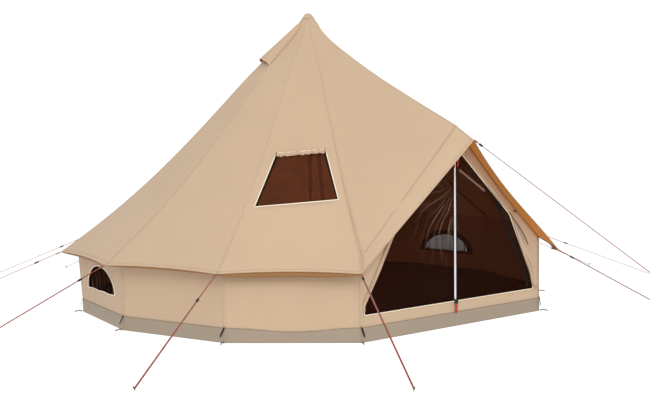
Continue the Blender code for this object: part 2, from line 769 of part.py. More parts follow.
def build_guys():
    """Build the guys: one at each eave corner, and one at the tip of the canopy."""
    peg_lift = 0.014
    start = eave_hold()
    end = Vector((GUY_PEG_RADIUS, 0.0, peg_lift))
    for side in (-1, 1):
        for number in range(1, PANELS_PER_SIDE + 2):
            reach = RUNNER_REACH.get((side, number), RUNNER_DEFAULT)
            turn = facing(corner_angle(side, number))
            build_guy(f"guy_{side_name(side)}_{number}", start, end, reach, turn)
    ridge = Vector((TIP_REACH, 0.0, TIP_HEIGHT - RIDGE_AT_DOOR)).normalized()
    under = Vector((ridge.z, 0.0, -ridge.x))
    tip = Vector((-DOOR_PLANE + TIP_REACH, 0.0, TIP_HEIGHT))
    tip += under * CANVAS * 0.5 + ridge * 4.0 * GAP
    peg = Vector((FRONT_PEG_DISTANCE, 0.0, peg_lift))
    build_guy("guy_front", tip, peg, 0.09, facing(FRONT))


def main():
    """Build the tent."""
    build_groundsheet()
    build_skirt()
    build_walls()
    build_roof()
    build_canopy()
    build_poles()
    build_door_wall()
    build_door_meshes()
    build_door_leaves()
    build_guys()


main()
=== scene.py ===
"""Dress the solid model of a five metre bell tent as sewn cotton, net, rope and steel.

Everything is in metres, +Z up, with the door towards -Y. Left and right are as seen from the front.
The plan is a regular thirteen-sided figure whose front corner is left out, so that the door wall
is two sides wide. Panels are numbered from the door, 1 to 5 on each side, and 6 at the back.
"""
import logging
import math
from dataclasses import dataclass, field
from enum import Enum
from functools import cache
from typing import Callable, Sequence

import bpy
import numpy as np
from mathutils import Matrix, Vector, noise
from mathutils.geometry import delaunay_2d_cdt

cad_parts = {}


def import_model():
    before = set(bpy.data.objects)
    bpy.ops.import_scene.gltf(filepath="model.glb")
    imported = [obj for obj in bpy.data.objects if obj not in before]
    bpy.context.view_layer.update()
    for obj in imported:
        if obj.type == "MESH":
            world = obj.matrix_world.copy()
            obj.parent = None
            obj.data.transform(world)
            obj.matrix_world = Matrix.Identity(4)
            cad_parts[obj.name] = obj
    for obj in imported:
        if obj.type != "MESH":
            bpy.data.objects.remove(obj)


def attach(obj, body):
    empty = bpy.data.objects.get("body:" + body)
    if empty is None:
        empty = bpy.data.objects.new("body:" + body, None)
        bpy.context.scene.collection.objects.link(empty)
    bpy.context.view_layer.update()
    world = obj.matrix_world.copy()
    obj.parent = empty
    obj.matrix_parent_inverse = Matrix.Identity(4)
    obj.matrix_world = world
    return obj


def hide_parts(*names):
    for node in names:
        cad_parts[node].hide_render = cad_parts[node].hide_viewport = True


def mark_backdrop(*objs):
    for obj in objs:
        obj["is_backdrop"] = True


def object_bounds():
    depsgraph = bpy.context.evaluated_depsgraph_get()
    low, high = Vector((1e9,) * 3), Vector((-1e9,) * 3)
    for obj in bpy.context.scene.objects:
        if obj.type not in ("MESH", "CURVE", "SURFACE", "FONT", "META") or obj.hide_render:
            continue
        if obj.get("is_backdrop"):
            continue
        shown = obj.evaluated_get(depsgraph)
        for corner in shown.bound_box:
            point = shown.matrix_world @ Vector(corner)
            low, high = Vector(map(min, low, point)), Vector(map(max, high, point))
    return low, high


Array = np.ndarray
LOG = logging.getLogger("bell_tent")
CLOTH_MAP = "cloth"
FOLD_MARK = "fold"
ROOT = "root"
ROUND = 2.0 * math.pi
FRONT = -math.pi / 2.0
TINY = 1e-12
UP = (0.0, 0.0, 1.0)
TO_DOOR = (0.0, -1.0, 0.0)
PLATE_SHARP = 50.0
STRAP_SHARP = 40.0
CLOTH_THICK = 0.001
THIN_THICK = 0.0008
NET_THICK = 0.0006
BAND_THICK = 0.0012


class Side(Enum):
    """A side of the tent, as seen from the front."""

    LEFT = -1
    RIGHT = 1

    def __str__(self) -> str:
        """Name the side."""
        return self.name.lower()


class Slot(Enum):
    """The material slots that the finishes are sorted into."""

    CANVAS = "canvas"
    SKIRT = "skirt"
    MESH = "mesh"
    GROUNDSHEET = "groundsheet"
    STEEL = "steel"
    ROPE = "rope"


class Hold(Enum):
    """How a sheet of the tent is held."""

    STRETCHED = "stretched"
    FOLDED = "folded"
    HUNG = "hung"
    LAID = "laid"


@dataclass(frozen=True)
class TentPlan:
    """The sizes that the cloth shares with the solid model."""

    sides: int = 13
    panels: int = 5
    back: int = 6
    floor_radius: float = 2.5
    eave_radius: float = 2.66
    eave_height: float = 0.63
    top_height: float = 3.09
    top_row: float = 3.045
    foot_row: float = 0.86
    bell_sag: float = 0.204
    foot_flare: float = 0.189
    ridge_at_door: float = 1.866
    ridge_sag: float = 0.104
    ridge_skew: float = 0.53
    crown_draw: float = 0.066
    crown_place: float = 0.11
    ridge_draw: float = 0.034
    ridge_place: float = 0.12
    tip_reach: float = 0.228
    tip_height: float = 1.734
    canopy_sag: float = 0.035
    front_edge_sag: float = 0.41
    corner_pull: float = 0.043
    corner_draw: float = 0.075
    door_sill: float = 0.235
    door_apex: float = 1.66
    knee_width: float = 0.72
    knee_height: float = 1.0
    foot_width: float = 1.093
    foot_skew: float = 0.034
    foot_turn: float = 0.322
    window_panel: int = 1
    vent_panel: int = 3
    give_heights: tuple[float, ...] = (0.0, 0.15, 0.35, 0.55, 0.685)
    give_third: tuple[float, ...] = (0.032, 0.038, 0.044, 0.030, 0.0)
    give_fourth: tuple[float, ...] = (0.050, 0.045, 0.030, 0.018, 0.0)
    skirt_height: float = 0.135
    floor_rim: float = 0.09

    @property
    def spacing(self) -> float:
        """Give the angle between two corners."""
        return ROUND / self.sides

    @property
    def door_plane(self) -> float:
        """Give the Y of the door wall's outer face."""
        return -self.floor_radius * math.cos(self.spacing)

    @property
    def door_corner(self) -> float:
        """Give the X of the door wall's right corner."""
        return self.floor_radius * math.sin(self.spacing)

    @property
    def apothem(self) -> float:
        """Give how far the middle of a wall's outer face is from the centre."""
        return self.floor_radius * math.cos(self.spacing / 2.0)

    @property
    def wall_line(self) -> float:
        """Give the height at which a roof seam passes over the wall's corner.

        Returns:
            The height.
        """
        foot = float(self.seam_radius(np.array(self.foot_row)))
        share = (self.eave_radius - self.floor_radius) / (self.eave_radius - foot)
        return self.eave_height + share * (self.foot_row - self.eave_height)

    def past_wall(self, height: Array) -> Array:
        """Give how far out past the wall a roof row is, from 0 at the wall to 1 at the eave."""
        span = self.wall_line - self.eave_height
        return held((self.wall_line - height) / span)

    def drawn(self, side: Side, corner: int) -> float:
        """Give how far a corner of the eave is drawn in, as one by the canopy is."""
        return self.corner_draw if (side, corner) == (Side.RIGHT, 2) else 0.0

    def angle(self, side: Side, number: float) -> float:
        """Give the direction of a corner, or of a panel by its number and a half, in radians."""
        return FRONT + side.value * self.spacing * number

    def crown(self, height: Array) -> Array:
        """Give how far the roof is drawn in below its top.

        Args:
            height: Heights above the ground.

        Returns:
            The distance at each height.
        """
        down = (self.top_height - height) / (self.top_height - self.eave_height)
        share = np.maximum(down, 0.0) / self.crown_place
        return self.crown_draw * (share * np.exp(1.0 - share)) ** 4

    def seam_radius(self, height: Array) -> Array:
        """Give how far a roof seam is from the centre pole.

        Args:
            height: Heights above the ground.

        Returns:
            The seam's radius at each height.
        """
        t = (height - self.eave_height) / (self.top_height - self.eave_height)
        bow = t * (1.0 - t)
        return self.eave_radius * (
            (1.0 - t) - self.bell_sag * bow
            - self.foot_flare * bow * (1.0 - 2.0 * t)) - self.crown(height)

    def ridge(self, share: Array) -> Array:
        """Give points of the canopy's ridge behind the entrance pole.

        Args:
            share: The way from the top, 0, to the entrance pole, 1.

        Returns:
            The points, with one more axis than the shares.
        """
        skew = 1.0 + self.ridge_skew * (1.0 - 2.0 * share)
        bow = 4.0 * share * (1.0 - share) * self.ridge_sag * skew
        near = share / self.ridge_place
        bow = bow + self.ridge_draw * (near * np.exp(1.0 - near)) ** 2
        height = self.top_height + (self.ridge_at_door - self.top_height) * share - bow
        return upright(0.0, self.door_plane * share, height)

    def door_edge(self, side: Side, height: Array) -> Array:
        """Give how far the doorway's edge is from its middle.

        Args:
            side: The side of the doorway.
            height: Heights above the ground.

        Returns:
            The distance at each height.
        """
        foot = self.foot_width - side.value * self.foot_skew
        low = (height - self.foot_turn) / (self.knee_height - self.foot_turn)
        below = foot + held(low) * (self.knee_width - foot)
        above = self.knee_width * (self.door_apex - height) / (self.door_apex - self.knee_height)
        return np.where(height <= self.knee_height, below, above)

    def given(self, points: Array) -> Array:
        """Draw points in where the ground holds the foot's third and fourth corners closer.

        Args:
            points: Points of the walls or of what is at their foot.

        Returns:
            The moved points.
        """
        radius = np.hypot(points[..., 0], points[..., 1])
        place = np.arctan2(np.abs(points[..., 0]), -points[..., 1]) / self.spacing
        third = np.interp(points[..., 2], self.give_heights, self.give_third)
        fourth = np.interp(points[..., 2], self.give_heights, self.give_fourth)
        near = held(place - 2.0) * held(4.0 - place)
        far = held(place - 3.0) * held((6.0 - place) / 2.0)
        drawn = (third * near + fourth * far) * smooth(radius / 2.0)
        moved = points.copy()
        moved[..., :2] *= (1.0 - drawn / np.maximum(radius, 1e-6))[..., None]
        return moved

    def panel_list(self) -> list[tuple[Side, int]]:
        """List every panel of the ring, the back one last."""
        pairs = [(side, number) for side in Side for number in range(1, self.panels + 1)]
        return pairs + [(Side.RIGHT, self.back)]

    def corner_list(self) -> list[tuple[Side, int]]:
        """List every corner of the ring."""
        return [(side, number) for side in Side for number in range(1, self.back + 1)]

    def panel_name(self, side: Side, number: int) -> str:
        """Give the name that the solid model ends a panel's node with."""
        return "back" if number == self.back else f"{side}_{number}"


PLAN = TentPlan()


def turned(points: Array, angle: float) -> Array:
    """Turn points about the centre pole.

    Args:
        points: Points in a frame whose +X is the direction.
        angle: The direction in the plan.

    Returns:
        The points in the tent's frame.
    """
    c, s = math.cos(angle), math.sin(angle)
    x = points[..., 0] * c - points[..., 1] * s
    y = points[..., 0] * s + points[..., 1] * c
    return upright(x, y, points[..., 2])


def toward(angle: float, rise: float = 0.0) -> Array:
    """Give a direction of the plan as a vector with a rise."""
    return np.array([math.cos(angle), math.sin(angle), rise])


def upright(width: Array | float, plane: Array | float, height: Array | float) -> Array:
    """Give points from their X, their Y and their Z, each a list or the same for all."""
    return np.stack(np.broadcast_arrays(width, plane, height), axis=-1).astype(float)


def held(value: Array | float) -> Array:
    """Hold shares to 0 and 1."""
    return np.clip(value, 0.0, 1.0)


def smooth(value: Array | float) -> Array:
    """Ease shares, which are held to 0 and 1."""
    share = held(value)
    return share * share * (3.0 - 2.0 * share)


def unit(vectors: Array) -> Array:
    """Give vectors the length 1."""
    return vectors / np.maximum(np.linalg.norm(vectors, axis=-1, keepdims=True), TINY)


def ripple(points: Array, wavelength: float, seed: float) -> Array:
    """Give smooth noise at points of space.

    Args:
        points: The points.
        wavelength: The size of one swell of the noise.
        seed: A number that makes this noise unlike another.

    Returns:
        The noise at each point, from about -0.5 to 0.5.
    """
    flat = points.reshape(-1, 3) / wavelength + seed * 17.13
    values = np.fromiter((noise.noise(Vector(point)) for point in flat), float, len(flat))
    return values.reshape(points.shape[:-1])


def lengths_of(points: Array, axis: int) -> Array:
    """Give how far along a grid's lines each point is.

    Args:
        points: Rows by columns by 3.
        axis: 0 to measure down the columns, or 1 to measure along the rows.

    Returns:
        The distance of each point from the start of its line.
    """
    steps = np.linalg.norm(np.diff(points, axis=axis), axis=-1)
    gone = np.cumsum(steps, axis=axis)
    return np.concatenate([np.zeros_like(np.take(gone, [0], axis=axis)), gone], axis=axis)


def operator(operation: str, other_first: bool = False) -> Callable[..., "Value"]:
    """Make a method of Value that adds a Math node.

    Args:
        operation: What the node does.
        other_first: Whether the other number comes first.

    Returns:
        The method.
    """
    def work(self: "Value", other: "Value | float" = 0.0) -> "Value":
        """Add the node."""
        pair = {0: other, 1: self} if other_first else {0: self, 1: other}
        return self.graph.value("ShaderNodeMath", 0, {"operation": operation}, pair)

    return work


@dataclass(eq=False)
class Value:
    """A number inside a shader, on which Python's operators add Math nodes."""

    graph: "Graph"
    socket: bpy.types.NodeSocket

    __add__ = __radd__ = operator("ADD")
    __sub__ = operator("SUBTRACT")
    __rsub__ = operator("SUBTRACT", other_first=True)
    __mul__ = __rmul__ = operator("MULTIPLY")
    __lt__ = operator("LESS_THAN")
    __abs__ = operator("ABSOLUTE")
    sine = operator("SINE")
    part = operator("FRACT")


class Graph:
    """The node tree of one material."""

    def __init__(self, name: str) -> None:
        """Make a material whose tree is empty, and which has a name."""
        self.material = bpy.data.materials.new(name)
        self.material.use_nodes = True
        self.tree = self.material.node_tree
        self.tree.nodes.clear()

    def add(self, kind: str, settings: dict | None = None, sockets: dict | None = None
            ) -> bpy.types.Node:
        """Add a node.

        Args:
            kind: The node's type, such as ShaderNodeBump.
            settings: The node's own settings, which are set first.
            sockets: The value or the Value of each input, by name or number.

        Returns:
            The node.
        """
        node = self.tree.nodes.new(kind)
        for name, value in (settings or {}).items():
            setattr(node, name, value)
        for name, value in (sockets or {}).items():
            if isinstance(value, Value):
                self.tree.links.new(value.socket, node.inputs[name])
            else:
                node.inputs[name].default_value = value
        return node

    def value(self, kind: str, output: str | int = 0, settings: dict | None = None,
              sockets: dict | None = None) -> Value:
        """Add a node and hold one of its outputs, with the arguments of add."""
        return Value(self, self.add(kind, settings, sockets).outputs[output])

    def mix(self, low: "Value | tuple", high: "Value | tuple", factor: Value) -> Value:
        """Mix two colours by a factor from 0 to 1."""
        settings = {"data_type": "RGBA", "clamp_factor": True}
        return self.value("ShaderNodeMix", 2, settings, {0: factor, 6: low, 7: high})

    def tones(self, colour: tuple, low: float, high: float, factor: Value) -> Value:
        """Mix two shares of one colour by a factor from 0 to 1."""
        return self.mix(shade(colour, low), shade(colour, high), factor)

    def cloud(self, size: float, detail: float = 3.0, stretch: tuple = (1.0, 1.0, 1.0),
              place: Value | None = None) -> Value:
        """Add noise over the piece's own space.

        Args:
            size: The size of one cloud.
            detail: How many finer layers it has.
            stretch: How much finer it is along each axis.
            place: The coordinates to use in place of the piece's own.

        Returns:
            The noise, from 0 to 1.
        """
        where = place or self.value("ShaderNodeTexCoord", "Object")
        scaled = self.value("ShaderNodeMapping", 0, None, {"Vector": where, "Scale": stretch})
        return self.value("ShaderNodeTexNoise", 0, None, {
            "Vector": scaled, "Scale": 1.0 / size, "Detail": detail, "Roughness": 0.55})

    def axes(self, place: Value) -> list[Value]:
        """Give the three parts of a vector."""
        split = self.add("ShaderNodeSeparateXYZ", None, {0: place})
        return [Value(self, output) for output in split.outputs]

    def cloth_place(self) -> Value:
        """Give the cloth's own coordinates, across and along, in metres."""
        return self.value("ShaderNodeUVMap", 0, {"uv_map": CLOTH_MAP})

    def waves(self, length: float) -> Value:
        """Give waves of a length that cross over the cloth, from -1 to 1."""
        across, along, _ = self.axes(self.cloth_place())
        return (across * (ROUND / length)).sine() * (along * (ROUND / length)).sine()

    def creased(self) -> Value:
        """Give how creased the cloth is, from 0 to 1, which the finishes use for painted shade and
        painted highlights in the creases.
        """
        return self.value("ShaderNodeAttribute", "Fac", {"attribute_name": FOLD_MARK})

    def bump(self, height: Value, depth: float, strength: float) -> Value:
        """Turn a height from 0 to 1 into a normal, as deep as its depth and as strong as given."""
        return self.value("ShaderNodeBump", 0, None, {
            "Height": height, "Distance": depth, "Strength": strength})

    def finish(self, **sockets: object) -> bpy.types.Material:
        """Close the graph with a Principled shader.

        Args:
            sockets: The shader's inputs, with underscores for spaces.

        Returns:
            The material.
        """
        named = {name.replace("_", " "): value for name, value in sockets.items()}
        shader = self.value("ShaderNodeBsdfPrincipled", 0, None, named)
        self.add("ShaderNodeOutputMaterial", None, {"Surface": shader})
        return self.material


def rgb(red: float, green: float, blue: float) -> tuple[float, float, float, float]:
    """Give an opaque colour from its linear parts."""
    return (red, green, blue, 1.0)


def shade(colour: tuple, share: float) -> tuple[float, float, float, float]:
    """Give a colour made lighter or darker by a share."""
    return rgb(*(part * share for part in colour[:3]))


@dataclass(frozen=True)
class WovenFinish:
    """Cotton cloth with its threads, its slubs and its faint clouds of colour, with painted shade
    in its creases and a painted glow for daylight through the cloth.
    """

    name: str
    colour: tuple
    glow: tuple = rgb(0.0, 0.0, 0.0)
    glow_strength: float = 0.0
    thread: float = 0.0016
    weave_depth: float = 0.00048
    roughness: float = 0.88
    unevenness: float = 0.035
    glow_past_door: bool = False

    def make(self) -> bpy.types.Material:
        """Make the material.

        Returns:
            The material.
        """
        graph = Graph(self.name)
        clouds = graph.cloud(0.8, 4.0)
        streaks = graph.cloud(0.02, 2.0, (1.0, 0.05, 1.0), graph.cloth_place())
        tone = (clouds - 0.5) * 2.2 + (streaks - 0.5) * 0.7 + 0.5
        cloth = graph.tones(self.colour, 1.0 - self.unevenness, 1.0 + self.unevenness, tone)
        weave = graph.waves(self.thread) * 0.5 + 0.5
        glow = self.glow
        # The painted glow stands for daylight through the cloth; behind the door's plane it is
        # painted dimmer, as shade.
        if self.glow_past_door:
            place = graph.axes(graph.value("ShaderNodeTexCoord", "Object"))[1]
            past = (place - PLAN.door_plane) * -30.0 + 0.6
            glow = graph.mix(shade(self.glow, 0.15), self.glow, past)
        # The fold mark darkens the colour as painted shade in the creases.
        return graph.finish(
            Base_Color=graph.mix(cloth, shade(self.colour, 0.50), graph.creased()),
            Roughness=(streaks - 0.5) * 0.12 + self.roughness,
            Normal=graph.bump(weave * 0.4 + graph.cloud(0.035, 5.0) * 0.6, self.weave_depth, 0.5),
            Sheen_Weight=0.12, Sheen_Roughness=0.6, Specular_IOR_Level=0.25,
            Emission_Color=glow, Emission_Strength=self.glow_strength)


@dataclass(frozen=True)
class SeamFinish:
    """A folded strip of the same cotton with rows of lockstitch along it."""

    name: str
    colour: tuple
    thread_colour: tuple
    rows: tuple[float, ...]
    pitch: float = 0.0075
    thread: float = 0.0009

    def make(self) -> bpy.types.Material:
        """Make the material.

        Returns:
            The material.
        """
        graph = Graph(self.name)
        across, along, _ = graph.axes(graph.cloth_place())
        stitched = (along * (1.0 / self.pitch)).part() < 0.68
        rows = None
        for row in self.rows:
            near = abs(across - row) < self.thread
            rows = near if rows is None else rows + near
        mask = stitched * rows
        cloth = graph.tones(self.colour, 0.93, 1.03, graph.cloud(0.06, 4.0))
        return graph.finish(
            Base_Color=graph.mix(cloth, self.thread_colour, mask), Roughness=0.85,
            Normal=graph.bump(graph.cloud(0.012) * 0.7 + mask * 0.3, 0.0008, 0.5),
            Sheen_Weight=0.1, Specular_IOR_Level=0.25)


@dataclass(frozen=True)
class CoatedFinish:
    """Coated cloth, smoother than cotton, scuffed and dusty towards the ground."""

    name: str
    colour: tuple
    dust: tuple
    roughness: float = 0.55
    dust_height: float = 0.05
    grid: float = ROUND / 2600.0

    def make(self) -> bpy.types.Material:
        """Make the material.

        Returns:
            The material.
        """
        graph = Graph(self.name)
        height = graph.axes(graph.value("ShaderNodeTexCoord", "Object"))[2]
        scuffs = graph.cloud(0.03, 4.0)
        base = graph.tones(self.colour, 0.93, 1.06, graph.cloud(0.35, 5.0))
        low = 1.0 - height * (1.0 / self.dust_height)
        settled = low * 0.35 + (scuffs - 0.55) * 0.5
        grid = graph.waves(self.grid) * 0.5 + 0.5
        return graph.finish(
            Base_Color=graph.mix(base, self.dust, settled),
            Roughness=scuffs * 0.2 + (self.roughness - 0.1),
            Normal=graph.bump(grid * 0.2 + scuffs * 0.8, 0.001, 0.5), Specular_IOR_Level=0.4)


@dataclass(frozen=True)
class NetFinish:
    """Fine insect net, which lets the view through, and whose creases are painted in their own
    colour, a painted highlight where it is lighter and painted shade where it is darker.
    """

    name: str
    colour: tuple
    crease_colour: tuple
    cover: float
    hole: float = 0.0018

    def make(self) -> bpy.types.Material:
        """Make the material.

        Returns:
            The material.
        """
        graph = Graph(self.name)
        grid, creased = graph.waves(self.hole), graph.creased()
        dusty = graph.mix(self.colour, shade(self.colour, 1.5), graph.cloud(0.25, 4.0))
        # The fold mark mixes in the crease colour: painted highlights and painted shade along the
        # folds.
        return graph.finish(
            Base_Color=graph.mix(dusty, self.crease_colour, creased), Roughness=0.6,
            Alpha=grid * 0.06 + creased * 0.3 + self.cover,
            Normal=graph.bump(grid * 0.5 + 0.5, 0.0003, 0.4), Specular_IOR_Level=0.0)


@dataclass(frozen=True)
class SteelFinish:
    """Zinc-plated steel, with the plating's faint grain and a few rubbed marks."""

    name: str
    colour: tuple = rgb(0.82, 0.82, 0.81)
    roughness: float = 0.30

    def make(self) -> bpy.types.Material:
        """Make the material.

        Returns:
            The material.
        """
        graph = Graph(self.name)
        grain = graph.cloud(0.01, 3.0, (1.0, 1.0, 0.15))
        return graph.finish(
            Base_Color=graph.tones(self.colour, 0.86, 1.06, graph.cloud(0.12, 4.0)),
            Roughness=grain * 0.2 + (self.roughness - 0.08), Metallic=1.0,
            Normal=graph.bump(grain, 0.0002, 0.3))


@dataclass(frozen=True)
class CordFinish:
    """Braided rope, whose strands cross round it."""

    name: str
    colour: tuple
    fleck: tuple
    strand: float = 0.004
    slope: float = 1.6

    def make(self) -> bpy.types.Material:
        """Make the material.

        Returns:
            The material.
        """
        graph = Graph(self.name)
        across, along, _ = graph.axes(graph.cloth_place())
        turns = ROUND / self.strand
        one = ((across * self.slope + along) * turns).sine()
        other = ((across * self.slope - along) * turns).sine()
        braid = one * other * 0.5 + 0.5
        flecks = (graph.cloud(0.02, 2.0) - 0.58) * 6.0
        return graph.finish(
            Base_Color=graph.mix(graph.tones(self.colour, 0.75, 1.1, braid), self.fleck, flecks),
            Roughness=0.7, Normal=graph.bump(braid, 0.0006, 0.7), Sheen_Weight=0.2,
            Specular_IOR_Level=0.3)


@dataclass(frozen=True)
class WebbingFinish:
    """Ribbed webbing, or the tape of a zip."""

    name: str
    colour: tuple
    rib: float
    roughness: float

    def make(self) -> bpy.types.Material:
        """Make the material.

        Returns:
            The material.
        """
        graph = Graph(self.name)
        across, along, _ = graph.axes(graph.cloth_place())
        ribs = (along * (ROUND / self.rib)).sine() * 0.5 + 0.5
        edge = (across * 900.0).sine() * 0.5 + 0.5
        return graph.finish(
            Base_Color=graph.tones(self.colour, 0.8, 1.5, graph.cloud(0.01) * 0.5 + ribs * 0.5),
            Roughness=self.roughness, Normal=graph.bump(ribs * 0.8 + edge * 0.2, 0.0005, 0.6),
            Specular_IOR_Level=0.15)


@dataclass(frozen=True)
class MouldedFinish:
    """Moulded plastic with a fine grain."""

    name: str
    colour: tuple
    roughness: float

    def make(self) -> bpy.types.Material:
        """Make the material.

        Returns:
            The material.
        """
        graph = Graph(self.name)
        wear = graph.cloud(0.02, 4.0)
        return graph.finish(
            Base_Color=graph.tones(self.colour, 0.85, 1.4, wear),
            Roughness=wear * 0.15 + (self.roughness - 0.07),
            Normal=graph.bump(graph.cloud(0.0015, 2.0), 0.0001, 0.4))


COTTON = rgb(0.605, 0.435, 0.288)
# The inside faces are the same cotton, painted darker and warmer as the shade inside the tent.
INSIDE_SHADE = rgb(0.36, 0.150, 0.045)
CREAM = rgb(0.88, 0.76, 0.60)


class Finish(Enum):
    """Every finish of the tent, each with the slot that it belongs to."""

    CANVAS = Slot.CANVAS, WovenFinish("canvas_cloth", COTTON)
    # The inside finishes are painted shade in their colours, with a painted glow for daylight
    # through the cloth; the canopy's glow is painted dimmer behind the door.
    INSIDE = Slot.CANVAS, WovenFinish("canvas_inside", INSIDE_SHADE, rgb(0.36, 0.12, 0.035), 0.20)
    CANOPY_INSIDE = Slot.CANVAS, WovenFinish(
        "canopy_inside", rgb(0.37, 0.118, 0.008), rgb(0.46, 0.165, 0.010), 0.50,
        glow_past_door=True)
    WALL_INSIDE = Slot.CANVAS, WovenFinish("wall_inside", INSIDE_SHADE, rgb(0.36, 0.11, 0.04), 0.11)
    # The welt's glow is painted light that makes it read paler.
    WELT = Slot.CANVAS, WovenFinish(
        "cream_welt", CREAM, rgb(0.90, 0.78, 0.62), 0.16, thread=0.001, unevenness=0.05)
    SEAM = Slot.CANVAS, SeamFinish(
        "seam_tape", shade(COTTON, 1.02), shade(COTTON, 0.88), (-0.0036, 0.0036))
    DOOR_SEAM = Slot.CANVAS, SeamFinish(
        "door_seam_tape", shade(COTTON, 0.96), shade(COTTON, 0.50), (-0.003, 0.003),
        thread=0.0016)
    INNER_SEAM = Slot.CANVAS, SeamFinish(
        "seam_tape_inside", rgb(0.20, 0.13, 0.10), rgb(0.05, 0.03, 0.02), (-0.020, 0.020))
    HEM = Slot.CANVAS, SeamFinish(
        "hem_tape", shade(COTTON, 1.05), shade(COTTON, 0.62), (0.004, 0.02))
    # A dark strip hung under each eave: a painted shadow of the eave on the wall.
    EAVE = Slot.CANVAS, SeamFinish(
        "eave_tape", rgb(0.330, 0.165, 0.062), rgb(0.20, 0.10, 0.04), (0.004,))
    SKIRT = Slot.SKIRT, CoatedFinish(
        "skirt_cloth", rgb(0.368, 0.290, 0.212), rgb(0.42, 0.33, 0.245))
    SKIRT_EDGE = Slot.SKIRT, CoatedFinish(
        "skirt_edge", rgb(0.29, 0.235, 0.175), rgb(0.30, 0.25, 0.18))
    GROUNDSHEET = Slot.GROUNDSHEET, CoatedFinish(
        "groundsheet_cloth", rgb(0.075, 0.055, 0.045), rgb(0.10, 0.075, 0.06), 0.6)
    # Net crease colours: painted highlights on the door and window nets, painted shade on the roof
    # nets.
    DOOR_NET = Slot.MESH, NetFinish(
        "door_net", rgb(0.020, 0.006, 0.004), rgb(0.42, 0.26, 0.20), 0.45)
    ROOF_NET = Slot.MESH, NetFinish(
        "roof_net", rgb(0.105, 0.030, 0.015), rgb(0.06, 0.03, 0.02), 0.32)
    WINDOW_NET = Slot.MESH, NetFinish(
        "window_net", rgb(0.007, 0.004, 0.0028), rgb(0.14, 0.10, 0.075), 0.52)
    WEBBING = Slot.MESH, WebbingFinish("black_webbing", rgb(0.011, 0.009, 0.008), 0.0022, 0.85)
    ZIP_TAPE = Slot.MESH, WebbingFinish("zip_tape", rgb(0.010, 0.005, 0.004), 0.003, 0.9)
    PLASTIC = Slot.MESH, MouldedFinish("black_plastic", rgb(0.006, 0.005, 0.005), 0.55)
    PEG_STEEL = Slot.STEEL, SteelFinish("peg_steel", rgb(0.16, 0.15, 0.14), 0.45)
    POLE = Slot.STEEL, SteelFinish("pole_zinc")
    # A dark copy of the pole steel: painted shade for the centre pole inside the tent.
    DULL_POLE = Slot.STEEL, SteelFinish("pole_dulled", rgb(0.10, 0.085, 0.075), 0.55)
    ROPE = Slot.ROPE, CordFinish("guy_rope", rgb(0.33, 0.038, 0.018), rgb(0.50, 0.13, 0.07))
    LOOP = Slot.ROPE, CordFinish("guy_loop", rgb(0.38, 0.11, 0.05), rgb(0.5, 0.25, 0.15))
    TIE = Slot.ROPE, CordFinish("leaf_tie", rgb(0.060, 0.030, 0.016), rgb(0.12, 0.07, 0.04))
    PULL = Slot.ROPE, CordFinish("pull_cord", rgb(0.62, 0.035, 0.015), rgb(0.75, 0.12, 0.05))

    @property
    def slot(self) -> Slot:
        """Give the slot."""
        return self.value[0]

    @property
    def material(self) -> bpy.types.Material:
        """Give the material, which is made when it is first asked for."""
        return material_of(self)


@cache
def material_of(finish: Finish) -> bpy.types.Material:
    """Make a finish's material once."""
    return finish.value[1].make()


def ring(radius: float, sides: int) -> Array:
    """Give the corners of a round section, by 2."""
    angles = np.arange(sides) * ROUND / sides
    return radius * np.stack([np.cos(angles), np.sin(angles)], axis=-1)


def swept(path: Array, section: Array, out: Sequence[float]) -> Array:
    """Carry a section along a path.

    Args:
        path: The path's points.
        section: Sideways and outward offsets, by 2, or one such list at each point of the path.
        out: A direction that the outward one keeps near.

    Returns:
        A grid of points, a row at each point of the path.
    """
    run = unit(np.gradient(path, axis=0))
    sideways = unit(np.cross(run, np.broadcast_to(out, path.shape)))
    outward = np.cross(sideways, run)
    section = np.broadcast_to(section, (len(path),) + section.shape[-2:])
    return (path[:, None] + section[..., :1] * sideways[:, None]
            + section[..., 1:] * outward[:, None])


